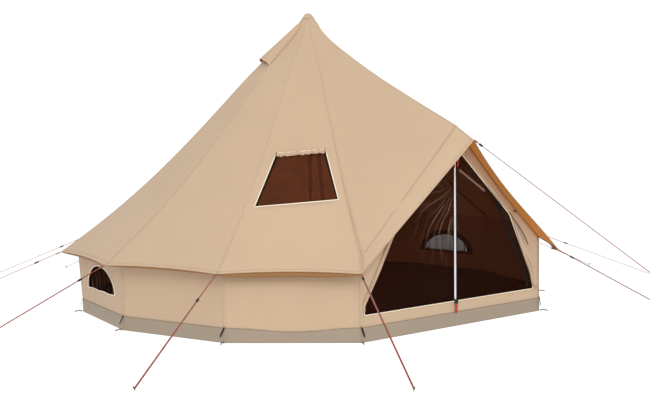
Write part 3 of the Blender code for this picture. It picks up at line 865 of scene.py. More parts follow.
@dataclass
class Shape:
    """Faces in the making, with the cloth's own coordinates and the marks of its folds."""

    points: list[Array] = field(default_factory=list)
    places: list[Array] = field(default_factory=list)
    folds: list[Array] = field(default_factory=list)
    faces: list[tuple[int, ...]] = field(default_factory=list)
    count: int = 0

    def add(self, points: Array, places: Array, faces: Sequence[Sequence[int]],
            folds: Array | None = None) -> "Shape":
        """Add some faces.

        Args:
            points: The corners, by 3.
            places: The cloth's own coordinates of the corners, by 2.
            faces: The faces, as numbers of the corners.
            folds: How creased each corner is, from 0 to 1.

        Returns:
            The shape itself.
        """
        flat = points.reshape(-1, 3)
        self.points.append(flat)
        self.places.append(places.reshape(-1, 2))
        self.folds.append(np.zeros(len(flat)) if folds is None else folds.reshape(-1))
        self.faces += [tuple(corner + self.count for corner in face) for face in faces]
        self.count += len(flat)
        return self

    def add_grid(self, points: Array, places: Array | None = None,
                 keep: Array | None = None, closed: bool = False, flip: bool = False,
                 folds: Array | None = None, caps: bool = False) -> "Shape":
        """Add a grid of faces.

        Args:
            points: Rows by columns by 3.
            places: The cloth's own coordinates, or None to measure them along the grid.
            keep: Which faces are kept, rows less one by columns less one.
            closed: Whether the last column joins the first.
            flip: Whether the faces turn the other way.
            folds: How creased each corner is.
            caps: Whether the first and the last row are closed by a face each.

        Returns:
            The shape itself.
        """
        if places is None:
            places = np.stack([lengths_of(points, 1), lengths_of(points, 0)], axis=-1)
        numbers = np.arange(points.shape[0] * points.shape[1]).reshape(points.shape[:2])
        ends = [numbers[0, ::-1].tolist(), numbers[-1].tolist()] if caps else []
        if closed:
            numbers = np.hstack([numbers, numbers[:, :1]])
        spans = np.stack([numbers[:-1, :-1], numbers[:-1, 1:], numbers[1:, 1:], numbers[1:, :-1]],
                         axis=-1)
        faces = spans[np.ones(spans.shape[:2], bool) if keep is None else keep].tolist() + ends
        return self.add(points, places, [face[::-1] for face in faces] if flip else faces, folds)

    def add_cord(self, path: Array, radius: float, out: Sequence[float] = UP,
                 sides: int = 8) -> "Shape":
        """Add a cord.

        Args:
            path: The cord's middle line.
            radius: The cord's radius.
            out: A direction that the path doesn't run along.
            sides: How many corners its section has.

        Returns:
            The shape itself.
        """
        grid = swept(path, ring(radius, sides), out)
        lengths = lengths_of(grid, 0)
        around = np.broadcast_to(np.arange(sides) * ROUND * radius / sides, lengths.shape)
        return self.add_grid(grid, np.stack([around, lengths], axis=-1), closed=True, caps=True)

    def add_plate(self, outline: Sequence[Sequence[float]], frame: Matrix, depth: float
                  ) -> "Shape":
        """Add a flat plate with a softened edge.

        Args:
            outline: The plate's corners in its own XY plane, by 2, anticlockwise.
            frame: Where the plate is.
            depth: Its thickness, along its own +Z.

        Returns:
            The shape itself.
        """
        wide = np.array(outline)
        soft = min(depth * 0.3, 0.0012)
        small = wide - unit(wide - wide.mean(axis=0)) * soft
        rows = []
        for loop, height in ((small, 0.0), (wide, soft), (wide, depth - soft), (small, depth)):
            local = np.column_stack([loop, np.full(len(loop), height), np.ones(len(loop))])
            rows.append((local @ np.array(frame).T)[:, :3])
        return self.add_grid(np.stack(rows), closed=True, caps=True)

    def facing(self, out: Array) -> "Shape":
        """Turn every triangle to face a direction.

        Args:
            out: The direction.

        Returns:
            The shape itself.
        """
        points = np.concatenate(self.points)
        a, b, c = (points[[face[place] for face in self.faces]] for place in range(3))
        away = np.cross(b - a, c - a) @ out <= 0.0
        self.faces = [face[::-1] if back else face for face, back in zip(self.faces, away)]
        return self

    def mesh(self, name: str) -> bpy.types.Mesh:
        """Make the mesh.

        Args:
            name: The mesh's name.

        Returns:
            The mesh, smooth all over, with its map and its marks.
        """
        places = np.concatenate(self.places)
        made = bpy.data.meshes.new(name)
        made.from_pydata(np.concatenate(self.points).tolist(), [], self.faces)
        made.update()
        made.shade_smooth()
        corners = np.zeros(len(made.loops), dtype=np.int32)
        made.loops.foreach_get("vertex_index", corners)
        layer = made.uv_layers.new(name=CLOTH_MAP)
        layer.data.foreach_set("uv", places[corners].astype(np.float32).ravel())
        mark = made.attributes.new(FOLD_MARK, "FLOAT", "POINT")
        mark.data.foreach_set("value", np.concatenate(self.folds).astype(np.float32))
        return made


@dataclass
class Piece:
    """How one piece is put into the scene."""

    name: str
    shape: Shape
    finish: Finish
    inside: Finish | None = None
    thickness: float = 0.0
    replaces: str | None = None
    sheet: tuple[float, float] | None = None
    hold: Hold = Hold.STRETCHED
    rests_on: tuple[str, ...] = ("centre_pole",)
    area: float | None = None
    sharp: float | None = None
    gives: bool = False
    slot: Slot | None = None

    def put(self) -> None:
        """Make the object, dress it and log its faces."""
        if self.gives:
            self.shape.points = [PLAN.given(points) for points in self.shape.points]
        mesh = self.shape.mesh(self.name)
        mesh.materials.append(self.finish.material)
        made = link(bpy.data.objects.new(self.name, mesh))
        if self.thickness > 0.0:
            solid = made.modifiers.new("thickness", "SOLIDIFY")
            solid.thickness = self.thickness
            solid.offset = -1.0
            solid.use_even_offset = False
            if self.inside is not None:
                mesh.materials.append(self.inside.material)
                solid.material_offset = 1
        if self.sharp is not None:
            mesh.set_sharp_from_angle(angle=math.radians(self.sharp))
        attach(made, ROOT)
        (self.slot or self.finish.slot).value
        if self.replaces is not None:
            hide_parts(self.replaces)
        if self.sheet is not None:
            self.sheet
            self.hold.value
            list(self.rests_on)
            self.area
        LOG.info("%s: %d faces", self.name, len(mesh.polygons))


def link(made: bpy.types.Object) -> bpy.types.Object:
    """Put an object in the scene's collection and give it back."""
    bpy.context.scene.collection.objects.link(made)
    return made


@dataclass(frozen=True)
class Roll:
    """The section of a loosely rolled sheet."""

    turns: float
    steps: int
    end: float
    wave: float
    flat: float = 0.5
    core: float = 0.22

    def section(self, radius: float, phase: float) -> tuple[Array, Array]:
        """Give the section at one place along the roll.

        Args:
            radius: How far its outer layer is from its middle.
            phase: Where its unevenness starts.

        Returns:
            Its points from its inner end to its outer end, by 2, and how creased each is, where the
            cloth is painted darker as shade in the valleys.
        """
        share = np.linspace(0.0, 1.0, self.steps + 1)
        angles = self.end - (1.0 - share) * self.turns * ROUND
        uneven = (np.sin(3.0 * angles + phase) + 0.7 * np.sin(5.0 * angles - 1.7 * phase)
                  + 0.35 * np.sin(9.0 * angles + 0.6 * phase))
        size = radius * (self.core + (1.0 - self.core) * share) * (1.0 + self.wave * uneven)
        points = np.stack([size * np.cos(angles), size * np.sin(angles) * self.flat], axis=-1)
        return points, np.clip(-0.9 * uneven - 0.45, 0.0, 0.75)


def catmull(points: Sequence[Sequence[float]], steps: int = 6) -> Array:
    """Run a smooth curve through points.

    Args:
        points: The points.
        steps: How many spans lie between two of them.

    Returns:
        The curve's points.
    """
    given = np.array(points, float)
    padded = np.vstack([2 * given[0] - given[1], given, 2 * given[-1] - given[-2]])
    t = (np.arange(steps) / steps)[:, None]
    found = []
    for a, b, c, d in zip(padded, padded[1:], padded[2:], padded[3:]):
        found.append(0.5 * (2 * b + (c - a) * t + (2 * a - 5 * b + 4 * c - d) * t ** 2
                            + (3 * b - a - 3 * c + d) * t ** 3))
    return np.vstack([*found, given[-1:]])


def sides_of(outline: Array, closed: bool = True) -> list[tuple[Array, Array]]:
    """List the two ends of each side of an outline, whose last corner may join its first."""
    pairs = list(zip(outline, outline[1:]))
    return pairs + [(outline[-1], outline[0])] if closed else pairs


def inside_of(points: Array, outline: Array) -> Array:
    """Say which points lie inside an outline.

    Args:
        points: The points, by 2.
        outline: The outline's corners, by 2.

    Returns:
        True for each point inside.
    """
    x, y = points[:, 0], points[:, 1]
    inside = np.zeros(len(points), bool)
    for (x1, y1), (x2, y2) in sides_of(outline):
        crosses = (y1 > y) != (y2 > y)
        at = (x2 - x1) * (y - y1) / ((y2 - y1) if y2 != y1 else TINY) + x1
        inside ^= crosses & (x < at)
    return inside


def edge_distance(points: Array, outline: Array, closed: bool = True) -> Array:
    """Give how far points are from an outline.

    Args:
        points: The points, by 2.
        outline: The outline's corners, by 2.
        closed: Whether the last corner joins the first.

    Returns:
        The distance of each point.
    """
    best = np.full(len(points), np.inf)
    for start, end in sides_of(outline, closed):
        run = end - start
        share = held((points - start) @ run / max(float(run @ run), TINY))
        best = np.minimum(best, np.linalg.norm(points - start - share[:, None] * run, axis=1))
    return best


def spaced(outline: Array, spacing: float, closed: bool = True) -> Array:
    """Put more corners on an outline.

    Args:
        outline: The outline's corners.
        spacing: The most that lies between two corners.
        closed: Whether the last corner joins the first.

    Returns:
        The outline with more corners.
    """
    found = []
    for start, end in sides_of(outline, closed):
        spans = max(1, math.ceil(float(np.linalg.norm(end - start)) / spacing))
        found += [start + (end - start) * step / spans for step in range(spans)]
    return np.array(found if closed else found + [outline[-1]])


def rows_through(heights: Sequence[float], spacing: float) -> Array:
    """List rows that pass through some heights, with others between them."""
    return spaced(np.sort(np.array(heights))[:, None], spacing, closed=False)[:, 0]


def joined(loop: Array) -> Array:
    """Give a loop with its first point again at its end."""
    return np.vstack([loop, loop[:1]])


def cut_out(outline: Array, holes: Sequence[Array], spacing: float
            ) -> tuple[Array, list[tuple[int, ...]]]:
    """Cut a flat piece of cloth with holes into small triangles.

    Args:
        outline: The cut's corners, by 2.
        holes: The outline of each hole, by 2.
        spacing: The triangles' size.

    Returns:
        The corners, by 2, and the triangles.
    """
    loops = [spaced(loop, spacing) for loop in (outline, *holes)]

    def in_cloth(points: Array) -> Array:
        """Say which points are in the cut and in none of its holes."""
        holed = np.any([inside_of(points, loop) for loop in loops[1:]], axis=0)
        return inside_of(points, loops[0]) & ~holed

    low, high = loops[0].min(axis=0) + spacing * 0.5, loops[0].max(axis=0)
    lattice = np.stack(np.meshgrid(
        np.arange(low[0], high[0], spacing), np.arange(low[1], high[1], spacing)),
        axis=-1).reshape(-1, 2)
    kept = in_cloth(lattice)
    for loop in loops:
        kept &= edge_distance(lattice, loop) > spacing * 0.45
    edges, start = [], 0
    for loop in loops:
        edges += [(start + at, start + (at + 1) % len(loop)) for at in range(len(loop))]
        start += len(loop)
    corners = [Vector(corner) for corner in np.vstack([*loops, lattice[kept]])]
    found = delaunay_2d_cdt(corners, edges, [], 0, 1e-6)
    made = np.array([tuple(corner) for corner in found[0]])
    triangles = [tuple(face) for face in found[2]]
    good = in_cloth(np.array([made[list(face)].mean(axis=0) for face in triangles]))
    return made, [face for face, keep in zip(triangles, good) if keep]


def arch(half_width: float, sill: float, rise: float, steps: int = 28) -> Array:
    """Give a half-round window's outline over a sill, from its right foot to its left, by 2."""
    angles = np.linspace(0.0, math.pi, steps + 1)
    return np.stack([half_width * np.cos(angles), sill + rise * np.sin(angles)], axis=-1)


def lozenge(end: float, middle: float, half_height: float) -> list[tuple[float, float]]:
    """Give a six-cornered outline from half its width at its ends and at its middle."""
    return [(-end, -half_height), (end, -half_height), (middle, 0.0), (end, half_height),
            (-end, half_height), (-middle, 0.0)]


def hung(place: Sequence[float], lean: float) -> Matrix:
    """Give the frame of a plate that hangs facing the front, leaning by so many degrees."""
    return (Matrix.Translation(place) @ Matrix.Rotation(math.radians(lean), 4, 'Y')
            @ Matrix.Rotation(math.pi / 2.0, 4, 'X'))


@dataclass(frozen=True)
class Opening:
    """A four-sided hole in a gore, by its lowest and highest row and half its width at each."""

    low: float
    high: float
    foot: float
    top: float

    def half(self, heights: Array) -> Array:
        """Give half its width at each row, carried on above and below it."""
        share = held((heights - self.low) / (self.high - self.low))
        return self.foot + (self.top - self.foot) * share


WINDOW = Opening(1.19, 1.645, 0.377, 0.230)
OPENINGS = {PLAN.window_panel: WINDOW, PLAN.vent_panel: Opening(2.58, 2.85, 0.05, 0.03)}


@dataclass(frozen=True)
class GoreFace:
    """The outer face of one roof gore, in the tent's frame."""

    side: Side
    number: int
    hem_bow: float = 0.016
    hem_fade: float = 0.25
    inset: float = 0.0006
    lean_rise: float = -0.013
    lean_slope: float = 0.073
    lean_aside: float = 0.016
    lean_fade: float = 0.25

    @property
    def angle(self) -> float:
        """Give the direction that the gore faces."""
        return PLAN.angle(self.side, self.number + 0.5)

    def half_width(self, height: Array) -> Array:
        """Give half the gore's width at each height."""
        return PLAN.seam_radius(height) * math.sin(PLAN.spacing / 2.0) - self.inset

    def place(self, y: Array, height: Array, lift: Array | float = 0.0) -> Array:
        """Give points of the face in the tent's frame, stretched about the roof window.

        Args:
            y: How far along the gore's width each point is from its middle.
            height: The row that each point belongs to.
            lift: How far off the face each point stands.

        Returns:
            The points.
        """
        if self.number == PLAN.window_panel:
            near = (smooth((height - WINDOW.low) / self.lean_fade + 1.0)
                    * smooth((WINDOW.high - height) / self.lean_fade + 1.0))
            share = y / self.half_width(height)
            height = height + (self.lean_rise - self.lean_slope * self.side.value * y) * near
            aside = self.side.value * self.lean_aside * (1.0 - share ** 4) * near
            y = share * self.half_width(height) - aside
        share = y / self.half_width(height)
        fade = 1.0 - smooth((height - PLAN.eave_height) / self.hem_fade)
        raised = height + self.hem_bow * held(1.0 - share ** 2) * fade
        step, turn = 0.001, math.cos(PLAN.spacing / 2.0)
        rise = PLAN.seam_radius(raised + step) - PLAN.seam_radius(raised - step)
        slope = rise * turn / (2.0 * step)
        length = np.sqrt(1.0 + slope ** 2)
        out = PLAN.seam_radius(raised) * turn + lift / length
        points = turned(upright(out, y, raised - lift * slope / length), self.angle)
        share = self.side.value * share
        past = PLAN.past_wall(height)
        if self.number == 1:
            points[..., 0] += self.side.value * PLAN.corner_pull * held(-share) * past
        for corner, end in ((self.number, -1.0), (self.number + 1, 1.0)):
            draw = PLAN.drawn(self.side, corner) * held(end * share) * past
            points -= draw[..., None] * toward(PLAN.angle(self.side, corner))
        return points

    def beside(self, end: float, offset: float, height: Array, lift: float) -> Array:
        """Give points at an offset from a seam, the one nearer the door where end is -1."""
        half = self.half_width(height)
        return self.place(end * self.side.value * (half - np.minimum(offset, half * 0.6)),
                          height, lift)


@dataclass(frozen=True)
class CanopyFace:
    """The outer face of the front canopy."""

    droop: float = 0.004
    step: float = 0.004

    def place(self, side: Side, across: Array, height: Array, lift: float = 0.0) -> Array:
        """Give points of one half of the canopy.

        Args:
            side: The half.
            across: The way from the ridge, 0, to the seam, 1.
            height: The height on the seam of the row that each point belongs to.
            lift: How far off the face the points stand.

        Returns:
            The points.
        """
        across, height = np.broadcast_arrays(across, height)
        seam, line = self.seam(side, height), PLAN.wall_line
        past = np.clip((line - height) / (line - PLAN.eave_height), 0.0, None)
        share = self.share(height)
        tip = np.array([0.0, -PLAN.tip_reach, PLAN.tip_height - PLAN.ridge_at_door])
        ridge = PLAN.ridge(share) + tip * past[..., None]
        bow = across * (1.0 - across)
        sag = 4.0 * self.droop * share * bow
        if side is Side.RIGHT:
            front = PLAN.front_edge_sag * bow * (1.0 - across)
            sag = 4.0 * PLAN.canopy_sag * share * bow * (1.0 - past) + front * past
        points = ridge + (seam - ridge) * across[..., None]
        points[..., 0] += side.value * PLAN.corner_pull * across * past
        points[..., 2] -= sag
        if lift:
            ahead, above = (self.place(side, across + run, height + rise)
                            - self.place(side, across - run, height - rise)
                            for run, rise in ((self.step, 0.0), (0.0, self.step)))
            points = points + unit(np.cross(ahead, above)) * side.value * lift
        return points

    def share(self, height: Array) -> Array:
        """Give the way from the top, 0, to the door wall, 1, held to that."""
        line = PLAN.wall_line
        return held(1.0 - (height - line) / (PLAN.top_height - line))

    def seam(self, side: Side, height: Array) -> Array:
        """Give points of the seam between the canopy and its first gore.

        Args:
            side: The half.
            height: The height of each point.

        Returns:
            The points.
        """
        points = PLAN.seam_radius(height)[..., None] * toward(PLAN.angle(side, 1))
        points[..., 2] = height
        return points

    def beside(self, side: Side, offset: float, height: Array, lift: float) -> Array:
        """Give points beside the canopy's seam.

        Args:
            side: The half.
            offset: How far from the seam they are.
            height: The height on the seam of each.
            lift: How far off the face they stand.

        Returns:
            The points.
        """
        reach = self.seam(side, height) - PLAN.ridge(self.share(height))
        span = np.linalg.norm(reach[:, :2], axis=1) + 0.03
        return self.place(side, 1.0 - np.minimum(offset / span, 0.4), height, lift)


CANOPY = CanopyFace()


@dataclass(frozen=True)
class Stitching:
    """Strips of doubled cloth along the seams and the hems."""

    width: float = 0.011
    stand: float = 0.0004
    inner_width: float = 0.044
    inner_stand: float = -0.0022
    thickness: float = 0.0006
    hem_width: float = 0.028
    hem_under: float = 0.0032

    def tape(self, name: str, lines: Sequence[Array], across: Sequence[float],
             finish: Finish = Finish.SEAM, flip: bool = False, gives: bool = False) -> None:
        """Make a strip.

        Args:
            name: The strip's name.
            lines: The lines that run along it, one at each of its columns.
            across: The cloth's own coordinate of each column.
            finish: Its finish.
            flip: Whether its faces turn the other way.
            gives: Whether it is drawn in as the foot of the tent is.
        """
        grid = np.stack(lines, axis=1)
        along = lengths_of(grid, 0)
        places = np.stack([np.broadcast_to(across, along.shape), along], axis=-1)
        Piece(name, Shape().add_grid(grid, places, flip=flip), finish, thickness=self.thickness,
              gives=gives).put()

    def roof_seam(self, side: Side, corner: int) -> None:
        """Make the seam at one corner of the roof, on both faces.

        Args:
            side: The side of the tent.
            corner: The corner's number.
        """
        left = side is Side.LEFT
        heights = np.sort(np.concatenate([
            np.linspace(PLAN.eave_height + 0.002, PLAN.top_row - 0.02, 54),
            PLAN.wall_line + np.array([-0.008, 0.0, 0.008])]))
        for word, half, stand, finish, flip in (
                ("", self.width / 2.0, self.stand, Finish.SEAM, not left),
                ("inside_", self.inner_width / 2.0, self.inner_stand, Finish.INNER_SEAM, left)):
            offsets = np.array([half, half * 0.5, 0.002])
            lines = [GoreFace(side, corner).beside(-1.0, offset, heights, stand)
                     for offset in offsets]
            lines += [CANOPY.beside(side, offset, heights, stand) if corner == 1 else
                      GoreFace(side, corner - 1).beside(1.0, offset, heights, stand)
                      for offset in offsets[::-1]]
            self.tape(f"roof_seam_{word}{side}_{corner}", lines,
                      np.concatenate([offsets, -offsets[::-1]]), finish, flip)

    def hem(self, name: str, place: Callable[[float, float], Array], flip: bool = False
            ) -> None:
        """Make a hem, folded round an edge.

        Args:
            name: The hem's name.
            place: Gives the points at a distance from the edge, standing off by a lift.
            flip: Whether its faces turn the other way.
        """
        width, stand, under = self.hem_width, self.stand, -self.hem_under
        steps = [(width, stand), (width * 0.5, stand), (0.0025, stand), (0.0005, stand * 0.4),
                 (0.0, under * 0.3), (0.0008, under * 0.85), (0.003, under), (width * 0.8, under)]
        self.tape(name, [place(inset, lift) for inset, lift in steps],
                  [inset if lift > 0 else -inset for inset, lift in steps], Finish.HEM, flip)


STITCHING = Stitching()


@dataclass
class Roof:
    """The ring of gores, with the openings for the roof windows and the vents."""

    swell: float = 0.0020
    swell_length: float = 0.33
    crease: float = 0.0012
    crease_reach: float = 0.7
    crease_count: float = 11.0
    seam_room: float = 0.05
    eave_tape: float = 0.018
    eave_front: float = 2.6

    def build(self) -> None:
        """Make the gores, their hems and their seams."""
        for side, number in PLAN.panel_list():
            self.gore(side, number)
            self.eave(side, number)
        for side, corner in PLAN.corner_list():
            STITCHING.roof_seam(side, corner)

    def gore(self, side: Side, number: int) -> None:
        """Make one gore, with the creases that the guys pull out of its lower corners.

        Args:
            side: The side of the tent.
            number: The panel's number.
        """
        face, opening = GoreFace(side, number), OPENINGS.get(number)
        name = PLAN.panel_name(side, number)
        edges = [opening.low, opening.high] if opening else []
        heights = rows_through([PLAN.eave_height, PLAN.foot_row, PLAN.top_row] + edges, 0.05)
        half = face.half_width(heights)
        hole = np.minimum(opening.half(heights), half * 0.9) if opening else half * 0.5
        inner = np.linspace(-1.0, 1.0, 13)
        outer = np.linspace(0.0, 1.0, 9)[1:]
        beside = [hole + (half - hole) * step for step in outer]
        y = np.stack([-row for row in beside[::-1]] + [hole * step for step in inner] + beside,
                     axis=1)
        height = np.broadcast_to(heights[:, None], y.shape)
        share = y / half[:, None]
        tidy = 1.0 - held(np.abs(share)) ** 4
        above = smooth((height - PLAN.eave_height - 0.02) / 0.08)
        lift = ripple(face.place(y, height), self.swell_length, number + 10.0 * side.value)
        lift = lift * self.swell * above
        rise = (height - PLAN.eave_height) / self.crease_reach
        creases = np.zeros_like(rise)
        for corner in (-1.0, 1.0):
            away = 0.9 * np.abs(share - corner)
            far = np.hypot(away, rise)
            creases += np.sin(np.arctan2(rise, away) * self.crease_count + corner) * np.exp(
                -((far - 0.35) / 0.3) ** 2)
        lift = lift + creases * self.crease * smooth((rise - 0.06) / 0.12)
        points = face.place(y, height, lift * tidy)
        keep = np.ones((len(heights) - 1, y.shape[1] - 1), bool)
        if opening:
            middle = (heights[:-1] + heights[1:]) / 2.0
            rows = (middle > opening.low) & (middle < opening.high)
            keep[rows, len(outer):len(outer) + len(inner) - 1] = False
        along = lengths_of(points, 0)
        flat = (float(2.0 * half[0]) + self.seam_room,
                float(along[:, y.shape[1] // 2].max()) + self.seam_room)
        Piece(f"roof_cloth_{name}", Shape().add_grid(points, np.stack([y, along], axis=-1), keep),
              Finish.CANVAS, Finish.INSIDE, CLOTH_THICK, f"roof_{name}", flat,
              area=round(0.46 * flat[0] * flat[1], 3)).put()

    def eave(self, side: Side, number: int) -> None:
        """Make one gore's hem and the dark strip under its eave, which paints the eave's shadow on
        the wall.

        Args:
            side: The side of the tent.
            number: The panel's number.
        """
        face, name = GoreFace(side, number), PLAN.panel_name(side, number)
        share = np.linspace(-1.0, 1.0, 25)
        across = share * float(face.half_width(np.array(PLAN.eave_height)))

        def at(rise: float, lift: float) -> Array:
            """Give the line that is so far above the eave and off the cloth."""
            return face.place(across, np.full(across.shape, PLAN.eave_height + rise), lift)

        STITCHING.hem(f"roof_hem_{name}", lambda inset, lift: at(inset * 0.66, lift))
        # A dark strip below the hem: painted shadow of the eave on the wall, deeper on the front
        # gores.
        edge = at(0.002, -0.004)
        deep = self.eave_tape * (1.0 if number > 1 else self.eave_front)
        depth = deep * (0.25 + 0.75 * (1.0 - share ** 4))
        STITCHING.tape(f"roof_eave_tape_{name}", [edge, edge - np.outer(depth, UP)],
                       (0.0, self.eave_tape), Finish.EAVE, flip=True)


@dataclass
class RoofWindow:
    """The net in a roof window, its welt, and the cover that is gathered above it."""

    side: Side
    welt: float = 0.0052
    tape: float = 0.019
    depth: float = -0.0045
    lap: float = 0.014
    roll: float = 0.019

    @property
    def face(self) -> GoreFace:
        """Give the gore that the window is in."""
        return GoreFace(self.side, PLAN.window_panel)

    @property
    def below(self) -> tuple[str, ...]:
        """Name the cloth that the window's pieces lie on."""
        return (f"roof_cloth_{self.side}_{PLAN.window_panel}",)

    def edge(self, grow: float) -> Array:
        """Give the opening's corners.

        Args:
            grow: How much larger it is made.

        Returns:
            The corners, as width and row.
        """
        rise = grow * 0.62
        foot, top = WINDOW.foot + grow, WINDOW.top + grow
        low, high = WINDOW.low - rise, WINDOW.high + rise
        return np.array([(foot, low), (top, high), (-top, high), (-foot, low)])

    def build(self) -> None:
        """Make the window."""
        self.net()
        self.trim()
        self.cover()

    def net(self) -> None:
        """Make the net."""
        rows = np.linspace(WINDOW.low - 0.01, WINDOW.high + 0.01, 17)
        y = (WINDOW.half(rows) + self.lap)[:, None] * np.linspace(-1.0, 1.0, 21)
        height = np.broadcast_to(rows[:, None], y.shape)
        flat = self.face.place(y, height)
        points = self.face.place(y, height, self.depth - 0.003 + ripple(flat, 0.12, 4.0) * 0.004)
        # Fold marks, where the net's crease colour is painted as shade.
        folds = np.clip(ripple(flat * np.array([1.0, 1.0, 0.3]), 0.05, 2.0) * 2.0 - 0.1, 0, 0.5)
        Piece(f"roof_window_net_{self.side}", Shape().add_grid(points, folds=folds),
              Finish.ROOF_NET, thickness=THIN_THICK, replaces=f"roof_window_mesh_{self.side}",
              sheet=(0.79, 0.56), area=0.35, rests_on=self.below).put()

    def trim(self) -> None:
        """Make the welt round the opening and the tape inside it."""
        word = self.side
        path = self.face.place(*joined(spaced(self.edge(self.welt * 0.6), 0.02)).T, 0.002)
        Piece(f"roof_window_welt_{word}",
              Shape().add_cord(path, self.welt, toward(self.face.angle, 1.0)), Finish.WELT).put()
        share = np.linspace(0.0, 1.0, 12, endpoint=False)[:, None]
        lines = []
        for grow in (0.001, -self.tape):
            loop = [start + (end - start) * share for start, end in sides_of(self.edge(grow))]
            lines.append(self.face.place(*joined(np.vstack(loop)).T, self.depth * 0.5))
        Piece(f"roof_window_tape_{word}", Shape().add_grid(np.stack(lines, axis=1), flip=True),
              Finish.ZIP_TAPE, thickness=CLOTH_THICK).put()

    def cover(self) -> None:
        """Make the gathered cover and the two loops that hold it."""
        word, half = self.side, WINDOW.top + 0.010
        roll = Roll(turns=3.0, steps=72, end=5.2, wave=0.13)
        shares = np.linspace(-1.0, 1.0, 121)
        sections, folds = [], []
        for share in shares:
            sag = 0.003 * math.sin(share * 9.0) + 0.004 * math.sin(share * 23.0 + 1.0)
            crush = 1.0 + 0.10 * math.sin(share * 31.0) + 0.08 * math.sin(share * 57.0 + 2.0)
            radius = self.roll * crush * (1.0 - 0.35 * float(smooth((abs(share) - 0.90) / 0.1)))
            section, fold = roll.section(radius, 1.0 + share * 14.0)
            sections.append(section * np.array([1.35, 1.0]) + np.array([sag, 0.0]))
            folds.append(fold)
        path = self.face.place(shares * half, np.full(len(shares), WINDOW.high - 0.022), 0.013)
        grid = swept(path, np.stack(sections), toward(self.face.angle, 1.2))
        Piece(f"roof_window_roll_{word}", Shape().add_grid(grid, folds=np.stack(folds)),
              Finish.CANVAS, thickness=THIN_THICK, replaces=f"roof_window_cover_{word}",
              sheet=(0.52, 0.27), hold=Hold.FOLDED, rests_on=self.below).put()
        turns = np.linspace(0.3 * math.pi, 2.2 * math.pi, 22)
        for end in (-1.0, 1.0):
            path = self.face.place(
                end * (half - 0.010) + 0.003 * np.sin(turns),
                WINDOW.high - 0.020 + 0.032 * np.cos(turns) * 0.66, 0.013 + 0.014 * np.sin(turns))
            place = "inner" if end * self.side.value < 0 else "outer"
            Piece(f"cover_loop_{word}_{place}", Shape().add_cord(
                path, 0.0022, toward(self.face.angle + math.pi / 2.0)), Finish.WEBBING).put()


@dataclass
class VentHood:
    """The arched hood over a vent."""

    side: Side
    foot: float = 2.53
    head: float = 3.0
    rise: float = 0.066
    margin: float = 0.001
    slope: float = 0.13

    def build(self) -> None:
        """Make the hood and its binding."""
        word, face = self.side, GoreFace(self.side, PLAN.vent_panel)
        rows = np.linspace(self.foot, self.head, 13)[:, None]
        angles = np.linspace(math.pi, 0.0, 25)
        down = (self.head - rows) / (self.head - self.foot)
        half = PLAN.seam_radius(rows) * math.sin(PLAN.spacing / 2.0) + self.margin
        y = half * np.cos(angles)
        crown = 0.52 * PLAN.crown(rows) * held(down * 6.0) * np.sin(angles) ** 0.8
        lift = 0.0012 + self.rise * down * np.sin(angles) + crown
        points = face.place(y, rows + self.slope * self.side.value * y * down, lift)
        Piece(f"vent_hood_cloth_{word}", Shape().add_grid(points), Finish.CANVAS, Finish.INSIDE,
              CLOTH_THICK, f"vent_hood_{word}", (0.34, 0.46), area=0.09,
              rests_on=(f"roof_cloth_{word}_{PLAN.vent_panel}",)).put()
        Piece(f"vent_hood_rim_{word}",
              Shape().add_cord(points[0], 0.003, toward(face.angle, -0.4)), Finish.WELT).put()


@dataclass
class Canopy:
    """The front panel of the roof, folded over its ridge and carried out past the door."""

    columns: int = 26
    crowding: float = 1.15

    def build(self) -> None:
        """Make the canopy, its hem and its stitched line."""
        heights = rows_through([PLAN.eave_height, PLAN.wall_line, PLAN.top_row], 0.045)[:, None]
        across = np.linspace(0.0, 1.0, self.columns) ** self.crowding
        left, right = (CANOPY.place(side, across, heights) for side in Side)
        points = np.concatenate([left[:, ::-1], right[:, 1:]], axis=1)
        out = unit(np.cross(np.gradient(points, axis=1), np.gradient(points, axis=0)))
        points = points + out * (ripple(points, 0.4, 7.0) * 0.0022)[..., None]
        Piece("canopy_cloth", Shape().add_grid(points), Finish.CANVAS, Finish.CANOPY_INSIDE,
              CLOTH_THICK, "front_canopy", (3.5, 3.9), area=6.1,
              rests_on=("centre_pole", "entrance_pole")).put()
        steps = np.linspace(0.0, 1.0, 60)
        for side in Side:
            flip = side is Side.LEFT
            STITCHING.hem(f"canopy_hem_{side}", lambda inset, lift: CANOPY.place(
                side, steps, PLAN.eave_height + inset * 0.4, lift), flip)
            lines = [CANOPY.place(side, steps * 0.955, PLAN.wall_line + rise, 0.0012)
                     for rise in (-0.006, -0.003, 0.003, 0.006)]
            STITCHING.tape(f"canopy_door_seam_{side}", lines, (-0.012, -0.005, 0.005, 0.012),
                           Finish.DOOR_SEAM, not flip)


@dataclass
class ApexCap:
    """The small cloth cone that covers the top."""

    lower: float = 0.013
    profile: tuple[tuple[float, float], ...] = (
        (0.0722, 0.059), (0.062, 0.0460), (0.053, 0.0325), (0.044, 0.0200), (0.035, 0.0105),
        (0.027, 0.0050), (0.019, 0.0018), (0.010, 0.0003), (0.0005, 0.0))

    def build(self) -> None:
        """Make the cap."""
        angles = np.linspace(0.0, ROUND, 104, endpoint=False)
        half = PLAN.spacing / 2.0
        facet = math.cos(half) / np.cos(np.mod(angles - FRONT, PLAN.spacing) - half)
        rows = []
        for radius, drop in self.profile:
            share = float(smooth(radius / self.profile[0][0] * 1.6 - 0.6))
            out = radius * (1.0 + (facet - 1.0) * share)
            rows.append(upright(out * np.cos(angles), out * np.sin(angles),
                                PLAN.top_height - self.lower - drop))
        Piece("apex_cap_cloth", Shape().add_grid(np.stack(rows), closed=True), Finish.CANVAS,
              thickness=CLOTH_THICK, replaces="apex_cap", sheet=(0.20, 0.20), area=0.028).put()


